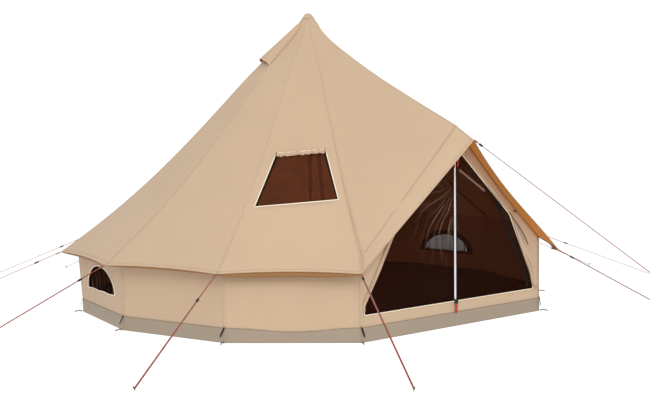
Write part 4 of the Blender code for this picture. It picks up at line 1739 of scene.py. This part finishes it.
@dataclass
class Walls:
    """The upright panels, with the half-round windows."""

    sill: float = 0.29
    rise: float = 0.25
    half_window: float = 0.375
    clear_half: float = 0.334
    window_every: int = 3
    grain: float = 0.028
    turn_in: float = 0.04
    welt: float = 0.0052
    lap: float = 0.012
    cut_height: float = 0.75

    def build(self) -> None:
        """Make every wall panel and its window."""
        for side, number in PLAN.panel_list():
            self.panel(side, number)
        for side, corner in PLAN.corner_list():
            self.corner_seam(side, corner)

    def panel(self, side: Side, number: int) -> None:
        """Make one panel, with its soft upright folds.

        Args:
            side: The side of the tent.
            number: The panel's number.
        """
        name, angle = PLAN.panel_name(side, number), PLAN.angle(side, number + 0.5)
        half = PLAN.apothem * math.tan(PLAN.spacing / 2.0) - 0.0008
        top = PLAN.wall_line - 0.003
        outline = np.array([(-half, 0.001), (half, 0.001), (half, top), (-half, top)])
        windowed = number % self.window_every == 0
        holes = [arch(self.half_window, self.sill, self.rise)] if windowed else []
        corners, faces = cut_out(outline, holes, self.grain)
        y, z = corners.T
        free = held((half - np.abs(y)) / 0.12) * held((top - z) / 0.08) * held((z - 0.14) / 0.1)
        seed = number + 20.0 * side.value
        depth, share = (0.009, 0.42) if windowed else (0.005, 0.12)
        folds = ripple(upright(y * 5.0, z * 1.2, seed), 1.0, seed)
        folds = folds + share * ripple(upright(y * 19.0, z * 2.0, seed + 3.0), 1.0, seed)
        points = turned(upright(PLAN.apothem + folds * depth * free, y, z), angle)
        width = 2.0 * half + self.turn_in
        area = round(width * self.cut_height * (0.85 if windowed else 1.0), 3)
        Piece(f"wall_cloth_{name}", Shape().add(points, corners, faces).facing(toward(angle)),
              Finish.CANVAS, Finish.WALL_INSIDE, CLOTH_THICK, f"wall_{name}",
              (width, self.cut_height), rests_on=(f"roof_cloth_{name}", "ground_band"),
              area=area, gives=True).put()
        if windowed:
            self.window(name.split("_")[0], name, angle)

    def window(self, word: str, panel: str, angle: float) -> None:
        """Make a window's welt, its net and its binding.

        Args:
            word: What its pieces' names end with.
            panel: The name of the panel that it is in.
            angle: The direction that it faces.
        """
        loop = joined(spaced(arch(self.half_window, self.sill, self.rise, 40), 0.015))
        wave = 0.003 * np.sin(loop[:, 0] * 23.0) * (loop[:, 1] < self.sill + 0.004)
        path = turned(upright(PLAN.apothem + 0.002, loop[:, 0], loop[:, 1] + wave), angle)
        Piece(f"window_welt_{word}", Shape().add_cord(path, self.welt, toward(angle)), Finish.WELT,
              gives=True).put()
        grid, folds = [], []
        for height in np.linspace(self.sill - self.lap, self.sill + self.rise + self.lap, 15):
            share = np.clip((height - self.sill) / (self.rise + self.lap), 0.0, 0.999)
            reach = (self.half_window + self.lap) * math.sqrt(1.0 - share ** 2) + 0.001
            y = np.linspace(-1.0, 1.0, 97) * reach
            hang = 1.0 - share * 0.5
            wave = np.sin(y * 61.0 + 2.2 * np.sin(y * 9.0) + height * 3.0)
            fine = np.sin(y * 143.0 + height * 7.0 + 1.3)
            grid.append(upright(
                PLAN.apothem - 0.014 + (0.006 * wave + 0.003 * fine) * hang, y, height))
            # Fold marks, heavier at the foot, where the net's crease colour is painted as
            # highlights.
            foot = 1.0 + 0.9 * math.exp(-(share / 0.16) ** 2)
            folds.append(held(wave * 0.8 + fine * 0.6 - 0.50) * hang * foot)
        Piece(f"window_net_{word}",
              Shape().add_grid(turned(np.stack(grid), angle), folds=np.stack(folds)),
              Finish.WINDOW_NET, thickness=THIN_THICK, replaces=f"window_mesh_{word}",
              sheet=(0.95, 0.30), area=0.25, hold=Hold.HUNG, rests_on=(f"wall_cloth_{panel}",),
              gives=True).put()
        outer = arch(self.half_window + 0.045, self.sill - 0.02, self.rise + 0.026, 40)
        inner = arch(self.clear_half, self.sill + 0.002, self.rise - 0.055, 40)
        corners, faces = cut_out(outer, [inner], 0.02)
        points = turned(upright(PLAN.apothem - 0.026, *corners.T), angle)
        Piece(f"window_binding_{word}",
              Shape().add(points, corners, faces).facing(-toward(angle)), Finish.WEBBING,
              thickness=BAND_THICK, gives=True).put()

    def corner_seam(self, side: Side, corner: int) -> None:
        """Make the upright seam at one corner.

        Args:
            side: The side of the tent.
            corner: The corner's number.
        """
        heights = np.linspace(0.137, PLAN.wall_line - 0.015, 24)
        bend = PLAN.spacing / 2.0
        offsets = (-0.013, -0.006, 0.0, 0.006, 0.013)
        lines = [turned(upright(PLAN.floor_radius + 0.0015 - abs(offset) * math.sin(bend),
                                offset * math.cos(bend), heights), PLAN.angle(side, corner))
                 for offset in offsets]
        STITCHING.tape(f"wall_seam_{side}_{corner}", lines, offsets, gives=True)


@dataclass
class Doorway:
    """The door wall, the net behind it with its zips, and the leaves tied back beside it."""

    pole_plane: float = PLAN.door_plane + 0.0215
    pole_radius: float = 0.0125
    gather_height: float = 1.328
    grain: float = 0.03
    wall_edge: float = PLAN.door_corner - 0.003
    welt: float = 0.0042
    sill_welt: float = 0.0045
    tuck: tuple[tuple[float, float], ...] = ((0.07, 1.450), (0.385, 1.245))
    binding: tuple[tuple[float, float], ...] = (
        (0.50, 1.185), (0.565, 1.075), (0.72, 0.80), (0.86, 0.54), (0.97, 0.33), (0.975, 0.26))
    leaf_route: tuple[tuple[float, float, float], ...] = (
        (0.05, 1.66, 0.008), (0.28, 1.440, 0.016), (0.56, 1.165, 0.019), (0.735, 1.025, 0.013),
        (0.82, 0.88, 0.022), (0.93, 0.68, 0.029), (1.04, 0.46, 0.030), (1.105, 0.27, 0.024))
    tie_route: tuple[tuple[float, float, float], ...] = (
        (0.690, 0.026, 1.018), (0.702, 0.042, 1.003), (0.753, 0.046, 0.941),
        (0.825, 0.050, 0.858), (0.890, 0.050, 0.775), (0.948, 0.044, 0.691))

    def build(self) -> None:
        """Make the doorway."""
        for side in Side:
            self.wall(side)
            self.net(side)
            self.trim(side)
            self.leaf(side)
        edge = self.wall_edge
        outline = [(-edge, 0.001), (edge, 0.001), (edge, PLAN.door_sill), (-edge, PLAN.door_sill)]
        self.flat_piece("door_sill", "door_sill_cloth", np.array(outline), (2.36, 0.26))
        self.net_binding()
        self.pulls()

    def flat_piece(self, replaces: str, name: str, outline: Array,
                   flat: tuple[float, float], area: float | None = None) -> None:
        """Make a piece of canvas that stands in the door's plane.

        Args:
            replaces: The node that it stands for.
            name: The piece's name.
            outline: Its outline as X and Z.
            flat: The size that it was cut to.
            area: The area that it was cut to.
        """
        corners, faces = cut_out(outline, [], self.grain)
        points = upright(corners[:, 0], PLAN.door_plane, corners[:, 1])
        free = held(edge_distance(corners, outline) / 0.06)
        free = free * held((corners[:, 1] - 0.14) / 0.1)
        points[:, 1] += ripple(points * np.array([1.0, 1.0, 0.6]), 0.14, 5.0) * 0.006 * free
        Piece(name, Shape().add(points, corners, faces).facing(np.array(TO_DOOR)), Finish.CANVAS,
              Finish.WALL_INSIDE, CLOTH_THICK, replaces, flat, area=area,
              rests_on=("canopy_cloth", "ground_band")).put()

    def wall(self, side: Side) -> None:
        """Make the wall on one side of the doorway.

        Args:
            side: The side of the doorway.
        """
        shares = np.linspace(self.wall_edge / PLAN.door_corner, 0.002, 16)
        top = CANOPY.place(side, shares, PLAN.wall_line)[:, [0, 2]] - (0.0, 0.009)
        foot = PLAN.door_sill + 0.0005
        heights = np.linspace(PLAN.door_apex, foot, 30)
        widths = np.maximum(PLAN.door_edge(side, heights), 0.001) * side.value
        outline = np.vstack([
            np.column_stack([widths, heights]), [(side.value * self.wall_edge, foot)], top])
        self.flat_piece(f"door_wall_{side}", f"door_wall_cloth_{side}", outline,
                        (0.37, 1.98), 0.31)

    def edge_line(self, side: Side, grow: float, plane: float) -> Array:
        """Give a line that runs so far outside the doorway's edge, from its apex to its foot."""
        heights = np.linspace(PLAN.door_apex - 0.012, PLAN.door_sill, 60)
        return upright((PLAN.door_edge(side, heights) + grow) * side.value, plane, heights)

    def sill_line(self, side: Side, plane: float, rise: float) -> Array:
        """Give a line along one half of the sill.

        Args:
            side: The side of the doorway.
            plane: How far behind the door's plane it is.
            rise: How far above the sill it is.

        Returns:
            The line's points.
        """
        end = float(PLAN.door_edge(side, np.array(PLAN.door_sill)))
        across = side.value * np.linspace(0.004, end, 30)
        return upright(across, PLAN.door_plane + plane, PLAN.door_sill + rise)

    def trim(self, side: Side) -> None:
        """Make the welts and zips along one side of the doorway, the sill and the pole.

        Args:
            side: The side of the doorway.
        """
        left = side is Side.LEFT
        heights = np.linspace(PLAN.door_sill + 0.01, PLAN.door_apex - 0.03, 40)
        before, net = PLAN.door_plane - 0.002, self.net_plane(0.0) - 0.004
        edge, sill = self.edge_line(side, 0.004, before), self.sill_line(side, -0.002, 0.001)
        edges = [self.edge_line(side, -grow, net) for grow in (0.018, 0.002)]
        sills = [self.sill_line(side, 0.001, rise) for rise in (0.004, 0.013)]
        poles = [upright(side.value * (self.pole_radius + step), self.pole_plane - 0.004, heights)
                 for step in (0.002, 0.012)]
        Piece(f"door_welt_{side}", Shape().add_cord(edge, self.welt, TO_DOOR), Finish.WELT).put()
        STITCHING.tape(f"door_zip_{side}", edges, (0.0, 0.016), Finish.ZIP_TAPE, not left)
        Piece(f"sill_welt_{side}", Shape().add_cord(sill, self.sill_welt, TO_DOOR),
              Finish.WELT).put()
        STITCHING.tape(f"sill_zip_{side}", sills, (0.004, 0.013), Finish.ZIP_TAPE, left)
        STITCHING.tape(f"pole_zip_{side}", poles, (0.0, 0.010), Finish.ZIP_TAPE, left)

    def net_plane(self, inward: Array | float) -> Array:
        """Give the Y of the net.

        Args:
            inward: The way from the doorway's edge, 0, to the pole, 1.

        Returns:
            The Y at each.
        """
        edge = PLAN.door_plane + 0.0055
        middle = self.pole_plane + self.pole_radius + 0.002
        return edge + (middle - edge) * inward

    def net(self, side: Side) -> None:
        """Make one net leaf, with the folds that run out from the pole.

        Args:
            side: The side of the doorway.
        """
        left = side is Side.LEFT
        heights = np.linspace(PLAN.door_sill - 0.015, PLAN.door_apex + 0.01, 170)[:, None]
        reach = np.maximum(PLAN.door_edge(side, heights), 0.0) + 0.015
        x = reach * np.linspace(0.0, 1.0, 120) + 0.0005
        z = np.broadcast_to(heights, x.shape)
        inward = 1.0 - held(x / np.maximum(reach, 0.25))
        dx, dz = x + 0.03, z - self.gather_height
        angle = np.arctan2(dz, dx)
        far = np.hypot(dx, dz)
        bend = 0.9 * far * np.sin(far * 9.0 + 1.0)
        wave = np.sin(angle * 34.0 + 2.2 * np.sin(angle * 7.0) + bend * 6.0)
        wave += 0.45 * np.sin(angle * 71.0 + 0.6 + bend * 9.0)
        pull = np.exp(-((far - 0.18) / 0.34) ** 2) * held(far / 0.05)
        low = smooth((-0.15 - angle) / 0.9)
        strength = pull * (0.25 + 0.75 * low) * (0.85 if left else 0.12)
        free = held((reach - x) / 0.05)
        off = edge_distance(np.stack([x, z], axis=-1).reshape(-1, 2), np.array(self.tuck), False)
        tuck = np.exp(-(off.reshape(x.shape) / 0.010) ** 2) * (0.0 if left else 0.9)
        y = self.net_plane(inward) + (0.009 * wave * strength - 0.008 * tuck) * free
        # Fold marks along the folds and the tuck, where the net's crease colour is painted as
        # highlights.
        folds = held(wave * 1.6 - 0.85) * strength + tuck
        Piece(f"door_net_{side}",
              Shape().add_grid(upright(side.value * x, y, z), folds=folds, flip=left),
              Finish.DOOR_NET, thickness=NET_THICK, replaces=f"door_mesh_{side}",
              sheet=(1.14, 1.47), area=0.98,
              rests_on=(f"door_wall_cloth_{side}", "entrance_pole")).put()

    def net_binding(self) -> None:
        """Make the dark binding of the net's right leaf."""
        line = catmull(self.binding, 8)
        at = np.linspace(0.0, len(line) - 1, 40)
        across, height = (np.interp(at, np.arange(len(line)), part) for part in line.T)
        lines = [upright(across + step, self.net_plane(0.0) - 0.003, height)
                 for step in (-0.016, 0.026)]
        STITCHING.tape("net_binding_right", lines, (0.0, 0.028), Finish.ZIP_TAPE)

    def leaf(self, side: Side) -> None:
        """Make one canvas leaf, rolled up, and the toggle that holds it back.

        Args:
            side: The side of the doorway.
        """
        loose = side is Side.RIGHT
        across, height, radius = catmull(self.leaf_route, 12).T
        below = held((PLAN.knee_height - height) / 0.3)
        if loose:
            radius = radius + 0.01 * below
            across = across - 0.02 * below
        else:
            radius = radius * (1.0 - 0.45 * below)
            beside = PLAN.door_edge(side, height) + radius * 0.9
            across = across + (np.maximum(beside, across) - across) * below
        path = upright(side.value * across, PLAN.door_plane - 0.001 - radius * 0.52, height)
        roll = Roll(*((4.0, 96) if loose else (6.5, 130)), end=1.2, wave=0.085)
        sections, folds = zip(*[roll.section(size, place * 0.11)
                                for place, size in enumerate(radius)])
        grid = swept(path, np.stack(sections), TO_DOOR)
        Piece(f"door_leaf_cloth_{side}", Shape().add_grid(grid, folds=np.stack(folds)),
              Finish.CANVAS, thickness=THIN_THICK, replaces=f"door_leaf_{side}",
              sheet=(0.90, 1.60), hold=Hold.FOLDED, area=0.62 if loose else 0.52,
              rests_on=(f"door_wall_cloth_{side}",)).put()
        if loose:
            self.leaf_tie()
        frame = hung((side.value * 0.762, PLAN.door_plane - 0.034, 1.03), -side.value * 80.0)
        Piece(f"leaf_toggle_{side}",
              Shape().add_plate(lozenge(0.006, 0.007, 0.022), frame, 0.008), Finish.PLASTIC,
              sharp=PLATE_SHARP).put()

    def leaf_tie(self) -> None:
        """Make the cord that hangs beside the right leaf."""
        tie = catmull(self.tie_route)
        tie[:, 1] = PLAN.door_plane - tie[:, 1]
        Piece("leaf_tie", Shape().add_cord(tie, 0.0048, (0.0, 1.0, 0.0), 6), Finish.TIE).put()

    def pulls(self) -> None:
        """Make the zip sliders and their pulls."""
        behind, before = self.pole_plane - 0.016, PLAN.door_plane - 0.010
        tag = [(-0.006, -0.043), (0.006, -0.043), (0.007, 0.035), (0.0, 0.043), (-0.007, 0.035)]
        for word, place, lean in (("top_left", (-0.034, behind, 1.585), -8.0),
                                  ("top_right", (0.036, behind, 1.590), 9.0),
                                  ("low_left", (-0.029, before, 0.234), -4.0),
                                  ("low_right", (-0.005, before, 0.230), 5.0)):
            frame = hung(place, lean)
            below = frame @ Matrix.Translation((0.0, -0.063, 0.001))
            slider = Shape().add_plate(lozenge(0.007, 0.010, 0.020), frame, 0.009)
            Piece(f"zip_slider_{word}", slider, Finish.PLASTIC, sharp=PLATE_SHARP).put()
            Piece(f"zip_pull_{word}", Shape().add_plate(tag, below, 0.006), Finish.PULL,
                  sharp=PLATE_SHARP).put()


@dataclass
class Foot:
    """The band round the foot of the walls, its straps and pegs, and the groundsheet."""

    strap_width: float = 0.014
    slant: float = 0.022
    dip: float = 0.26
    stand: float = 0.0036
    strap_half_depth: float = 0.0012
    peg: float = 0.0052
    rows: tuple[float, ...] = (0.0015, 0.02, 0.045, 0.07, 0.095, 0.118, 0.130)

    def ring(self, radius: float) -> Array:
        """Give the plan's corners, going round from the door's right corner.

        Args:
            radius: How far from the centre they are.

        Returns:
            The corners, by 2.
        """
        turns = [PLAN.angle(Side.RIGHT, number) for number in range(1, PLAN.back + 1)]
        turns += [PLAN.angle(Side.LEFT, number) for number in range(PLAN.back, 0, -1)]
        return np.array([radius * toward(turn)[:2] for turn in turns])

    def build(self) -> None:
        """Make the foot of the tent."""
        self.band()
        self.floor()
        for side, corner in PLAN.corner_list():
            self.strap(side, corner)

    def band(self) -> None:
        """Make the band."""
        corners = self.ring(PLAN.floor_radius + self.stand)
        loop = spaced(corners, 0.04)
        place = np.arctan2(np.abs(loop[:, 0]), -loop[:, 1]) / PLAN.spacing
        low = 1.0 - self.dip * np.sin(math.pi * (np.clip(place, 1.0, 2.0) - 1.0)) ** 2
        out = unit(loop)
        gaps = np.linalg.norm(loop[:, None] - corners[None], axis=2)
        free = held(gaps.min(axis=1) / 0.1)
        grid = []
        for height in (*self.rows, PLAN.skirt_height):
            wave = ripple(upright(*loop.T, height * 0.6), 0.09, 3.0)
            wave = np.abs(wave * 0.006 * math.sin(math.pi * height / PLAN.skirt_height)) * free
            grid.append(np.column_stack([loop + out * wave[:, None], height * low]))
        run = sum(float(np.linalg.norm(end - start)) for start, end in sides_of(loop))
        Piece("ground_band", Shape().add_grid(np.stack(grid), closed=True), Finish.SKIRT,
              thickness=BAND_THICK, replaces="ground_skirt", sheet=(round(run, 2), 0.14),
              rests_on=("groundsheet_cloth",), gives=True).put()
        rim = np.column_stack([loop + out * 0.0015, (PLAN.skirt_height - 0.002) * low])
        Piece("ground_band_edge", Shape().add_cord(joined(rim), 0.0022, sides=6),
              Finish.SKIRT_EDGE, gives=True).put()

    def floor(self) -> None:
        """Make the groundsheet."""
        loop = spaced(self.ring(PLAN.floor_radius - 0.012), 0.1)
        rows = [upright(*loop.T, height) for height in (PLAN.floor_rim, 0.05, 0.006)]
        for share in np.linspace(1.0, 0.02, 30)[1:]:
            flat = upright(*(loop * share).T, 0.0045)
            flat[:, 2] += ripple(flat, 0.5, 9.0) * 0.002
            rows.append(flat)
        shape = Shape().add_grid(np.stack(rows), closed=True)
        shape.faces.append(tuple(range(shape.count - len(loop), shape.count)))
        Piece("groundsheet_cloth", shape, Finish.GROUNDSHEET, thickness=BAND_THICK,
              replaces="groundsheet", sheet=(5.16, 5.0), area=20.0, hold=Hold.LAID, rests_on=(),
              gives=True).put()

    def strap(self, side: Side, corner: int) -> None:
        """Make the strap, its loop and the peg at one corner.

        Args:
            side: The side of the tent.
            corner: The corner's number.
        """
        angle = PLAN.angle(side, corner)

        def line(*points: tuple[float, float, float]) -> Array:
            """Give a curve through points that start out from the plan's corner."""
            return turned(catmull(np.array(points) + (PLAN.floor_radius, 0.0, 0.0)), angle)

        slant = -side.value * self.slant * (1.0 if corner == 1 else -1.5)
        strap = line((0.006, 0.0, 0.136), (0.011, slant * 0.3, 0.112),
                     (0.016, slant * 0.7, 0.084), (0.019, slant, 0.056))
        loop = line((0.006, 0.0, 0.020), (0.016, 0.0, 0.013), (0.028, 0.0, 0.010))
        for name, path, finish, half in (
                ("strap", strap, Finish.WEBBING, self.strap_width / 2.0),
                ("webbing", loop, Finish.SKIRT, self.strap_width * 0.4)):
            deep = self.strap_half_depth
            section = np.array([(-half, deep), (-half, -deep), (half, -deep), (half, deep)])
            grid = swept(path, section, toward(angle, 0.6))
            Piece(f"corner_{name}_{side}_{corner}",
                  Shape().add_grid(grid, closed=True, caps=True), finish, sharp=STRAP_SHARP,
                  gives=True, slot=Slot.SKIRT).put()
        hook = line((0.020, 0.0, 0.003), (0.026, 0.0, 0.014), (0.048, 0.0, 0.016),
                    (0.076, 0.0, 0.013), (0.090, 0.0, 0.006))
        Piece(f"corner_peg_{side}_{corner}",
              Shape().add_cord(hook, self.peg, toward(angle + math.pi / 2.0)), Finish.PEG_STEEL,
              gives=True).put()


@dataclass
class Guy:
    """One guy rope, with its loop, its slider and its peg.

    Its start is a radius and a height, its slider and its peg are given by how far along the rope
    and how far from the centre they are, and it starts so far to its left, looking out.
    """

    word: str
    angle: float
    start: tuple[float, float]
    reach: float
    peg: float
    aside: float = 0.0
    thick: bool = False
    rope: float = 0.0046
    thin_rope: float = 0.0028
    hook: float = 0.0038

    def build(self) -> None:
        """Make the guy."""
        first = np.array([self.start[0], self.aside, self.start[1]])
        last = np.array([self.peg, 0.0, 0.016])
        run = unit(last - first)
        slider = first + run * self.reach
        radius = self.rope if self.thick else self.thin_rope
        shape = Shape().add_cord(self.line(first, slider + run * 0.02), radius)
        for gap in (-radius * 0.8, radius * 0.8):
            apart = np.array([0.0, gap, 0.0])
            shape.add_cord(self.line(slider + apart - run * 0.02, last + apart), radius * 0.8)
        self.put("rope", shape, Finish.ROPE, replaces=f"guy_{self.word}")
        steps = np.linspace(0.0, ROUND, 20)
        loop = first + run * 0.022 + np.outer(np.cos(steps), run) * 0.024
        loop[:, 1] += np.sin(steps) * 0.009
        self.put("loop", Shape().add_cord(self.line(*loop), self.rope * 1.1), Finish.LOOP)
        frame = Vector(run).to_track_quat('X', 'Z').to_matrix().to_4x4()
        frame.translation = slider
        frame = (Matrix.Rotation(self.angle, 4, 'Z') @ frame
                 @ Matrix.Translation((0.0, 0.0, -0.007)))
        self.put("slider", Shape().add_plate(lozenge(0.020, 0.024, 0.0085), frame, 0.014),
                 Finish.PLASTIC, sharp=PLATE_SHARP)
        hook = catmull(np.array([(-0.012, 0.0, 0.0025), (-0.002, 0.0, 0.018), (0.004, 0.0, 0.030),
                                 (0.013, 0.0, 0.034), (0.019, 0.0, 0.026)]) + (self.peg, 0.0, 0.0))
        self.put("peg", Shape().add_cord(
            self.line(*hook), self.hook, toward(self.angle + math.pi / 2.0)), Finish.PEG_STEEL)

    def put(self, kind: str, shape: Shape, finish: Finish, **details: object) -> None:
        """Make one of the guy's pieces, with more details of Piece."""
        Piece(f"guy_{kind}_{self.word}", shape, finish, **details).put()

    def line(self, *points: Array) -> Array:
        """Turn points of a line from the guy's own direction to the tent's frame."""
        return turned(np.array(points), self.angle)


@dataclass
class Guys:
    """Where each guy starts, and where its slider and its peg are."""

    reaches: dict = field(default_factory=lambda: {
        (Side.LEFT, 1): 0.08, (Side.LEFT, 2): 0.42, (Side.LEFT, 3): 0.27, (Side.RIGHT, 1): 0.17,
        (Side.RIGHT, 3): 0.95})
    usual_reach: float = 0.25
    peg_radius: float = 4.2
    near_peg: float = 3.88
    front_peg: float = 5.6
    thick: tuple[str, ...] = ("left_1", "left_2", "left_3", "right_1")

    def build(self) -> None:
        """Make every guy."""
        for side, corner in PLAN.corner_list():
            word = f"{side}_{corner}"
            aside = side.value * PLAN.corner_pull * math.cos(PLAN.spacing) if corner == 1 else 0.0
            Guy(word, PLAN.angle(side, corner), (2.668 - PLAN.drawn(side, corner), 0.626),
                self.reaches.get((side, corner), self.usual_reach),
                self.near_peg if word == "right_1" else self.peg_radius, aside,
                word in self.thick).build()
        start = (-PLAN.door_plane + PLAN.tip_reach + 0.004, PLAN.tip_height - 0.003)
        Guy("front", FRONT, start, 0.09, self.front_peg).build()


@dataclass(frozen=True)
class CameraPlan:
    """Where the camera stands and how it is turned."""

    place: tuple[float, float, float] = (-7.0400, -9.1690, 1.9224)
    heading: float = -0.668375
    pitch: float = -0.075041
    roll: float = -0.012815
    focal_pixels: float = 1064.3
    width_pixels: float = 650.0
    sensor: float = 36.0

    def put(self) -> None:
        """Make the camera."""
        data = bpy.data.cameras.new("view")
        data.sensor_width = self.sensor
        data.lens = self.focal_pixels / self.width_pixels * self.sensor
        data.dof.use_dof = False
        data.clip_end = 100.0
        made = link(bpy.data.objects.new("view", data))
        made.matrix_world = (
            Matrix.Translation(self.place) @ Matrix.Rotation(self.heading, 4, 'Z')
            @ Matrix.Rotation(math.pi / 2.0 + self.pitch, 4, 'X')
            @ Matrix.Rotation(self.roll, 4, 'Z'))
        bpy.context.scene.camera = made


@dataclass(frozen=True)
class Studio:
    """A pale floor that sweeps up behind the tent, under an even, soft light."""

    depth: float = 26.0
    width: float = 70.0
    rise: float = 16.0
    bend: float = 6.0
    heading: float = -0.654
    level: float = -0.001
    world_strength: float = 0.80
    key_place: tuple[float, float, float] = (-5.8, -8.6, 5.2)
    key_aim: tuple[float, float, float] = (0.0, 0.0, 1.2)
    key_power: float = 330.0
    key_size: float = 4.0

    def put(self) -> None:
        """Make the sweep and the lights."""
        scene = bpy.context.scene
        scene.view_settings.view_transform = "Standard"
        scene.view_settings.look = "None"
        world = bpy.data.worlds.new("studio")
        world.use_nodes = True
        ground = world.node_tree.nodes["Background"]
        ground.inputs["Color"].default_value = rgb(1.0, 1.0, 1.0)
        ground.inputs["Strength"].default_value = self.world_strength
        scene.world = world
        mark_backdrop(self.sweep(), self.key())

    def sweep(self) -> bpy.types.Object:
        """Make the floor and the backdrop that it turns up into.

        Returns:
            The sweep.
        """
        turns = np.linspace(0.0, math.pi / 2.0, 12)
        profile = [(-self.depth, 0.0)]
        profile += [(self.depth - self.bend + self.bend * math.sin(turn),
                     self.bend * (1.0 - math.cos(turn))) for turn in turns]
        profile.append((self.depth, self.rise))
        half = self.width / 2.0
        points = np.array([[(side * half, along, up + self.level) for side in (-1.0, 1.0)]
                           for along, up in profile])
        mesh = Shape().add_grid(turned(points, self.heading)).mesh("studio_sweep")
        mesh.materials.append(Graph("studio_paper").finish(
            Base_Color=rgb(0.12, 0.12, 0.12), Roughness=1.0, Specular_IOR_Level=0.0,
            Emission_Color=rgb(1.0, 1.0, 1.0), Emission_Strength=1.0))
        made = link(bpy.data.objects.new("studio_sweep", mesh))
        made.visible_diffuse = False
        return made

    def key(self) -> bpy.types.Object:
        """Make the area light, aimed at the tent's middle.

        Returns:
            The light.
        """
        data = bpy.data.lights.new("key_light", "AREA")
        data.energy = self.key_power
        data.size = self.key_size
        made = link(bpy.data.objects.new("key_light", data))
        made.location = self.key_place
        aim = Vector(self.key_aim) - Vector(self.key_place)
        made.rotation_euler = aim.to_track_quat('-Z', 'Y').to_euler()
        return made


def keep_poles() -> None:
    """Give the poles of the solid model their finish, the centre pole a dark copy of the steel
    painted as the shade inside the tent.
    """
    for name, finish in (("centre_pole", Finish.DULL_POLE), ("entrance_pole", Finish.POLE)):
        pole = bpy.data.objects[name]
        pole.data.materials.clear()
        pole.data.materials.append(finish.material)
        pole.data.shade_smooth()
        pole.data.set_sharp_from_angle(angle=math.radians(STRAP_SHARP))
        LOG.info("%s: kept from the solid model", name)


def write_size(before: Sequence, after: Sequence) -> None:
    """Turn the model's size before and after it is dressed into plain numbers, which are not kept.
    """
    {"before": plain(before), "after": plain(after)}


def plain(bounds: object) -> object:
    """Turn bounds into plain numbers.

    Args:
        bounds: Bounds, or a part of them.

    Returns:
        The same as lists and numbers.
    """
    if isinstance(bounds, (int, float)):
        return float(bounds)
    if isinstance(bounds, dict):
        return {key: plain(value) for key, value in bounds.items()}
    return [plain(value) for value in bounds]


def main() -> None:
    """Dress the tent, light it and measure its size before and after."""
    logging.basicConfig(level=logging.INFO, format="%(name)s %(message)s")
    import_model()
    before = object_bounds()
    Roof().build()
    for side in Side:
        RoofWindow(side).build()
        VentHood(side).build()
    Canopy().build()
    ApexCap().build()
    Walls().build()
    Doorway().build()
    Foot().build()
    Guys().build()
    keep_poles()
    CameraPlan().put()
    Studio().put()
    write_size(before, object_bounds())


if __name__ == "__main__":
    main()
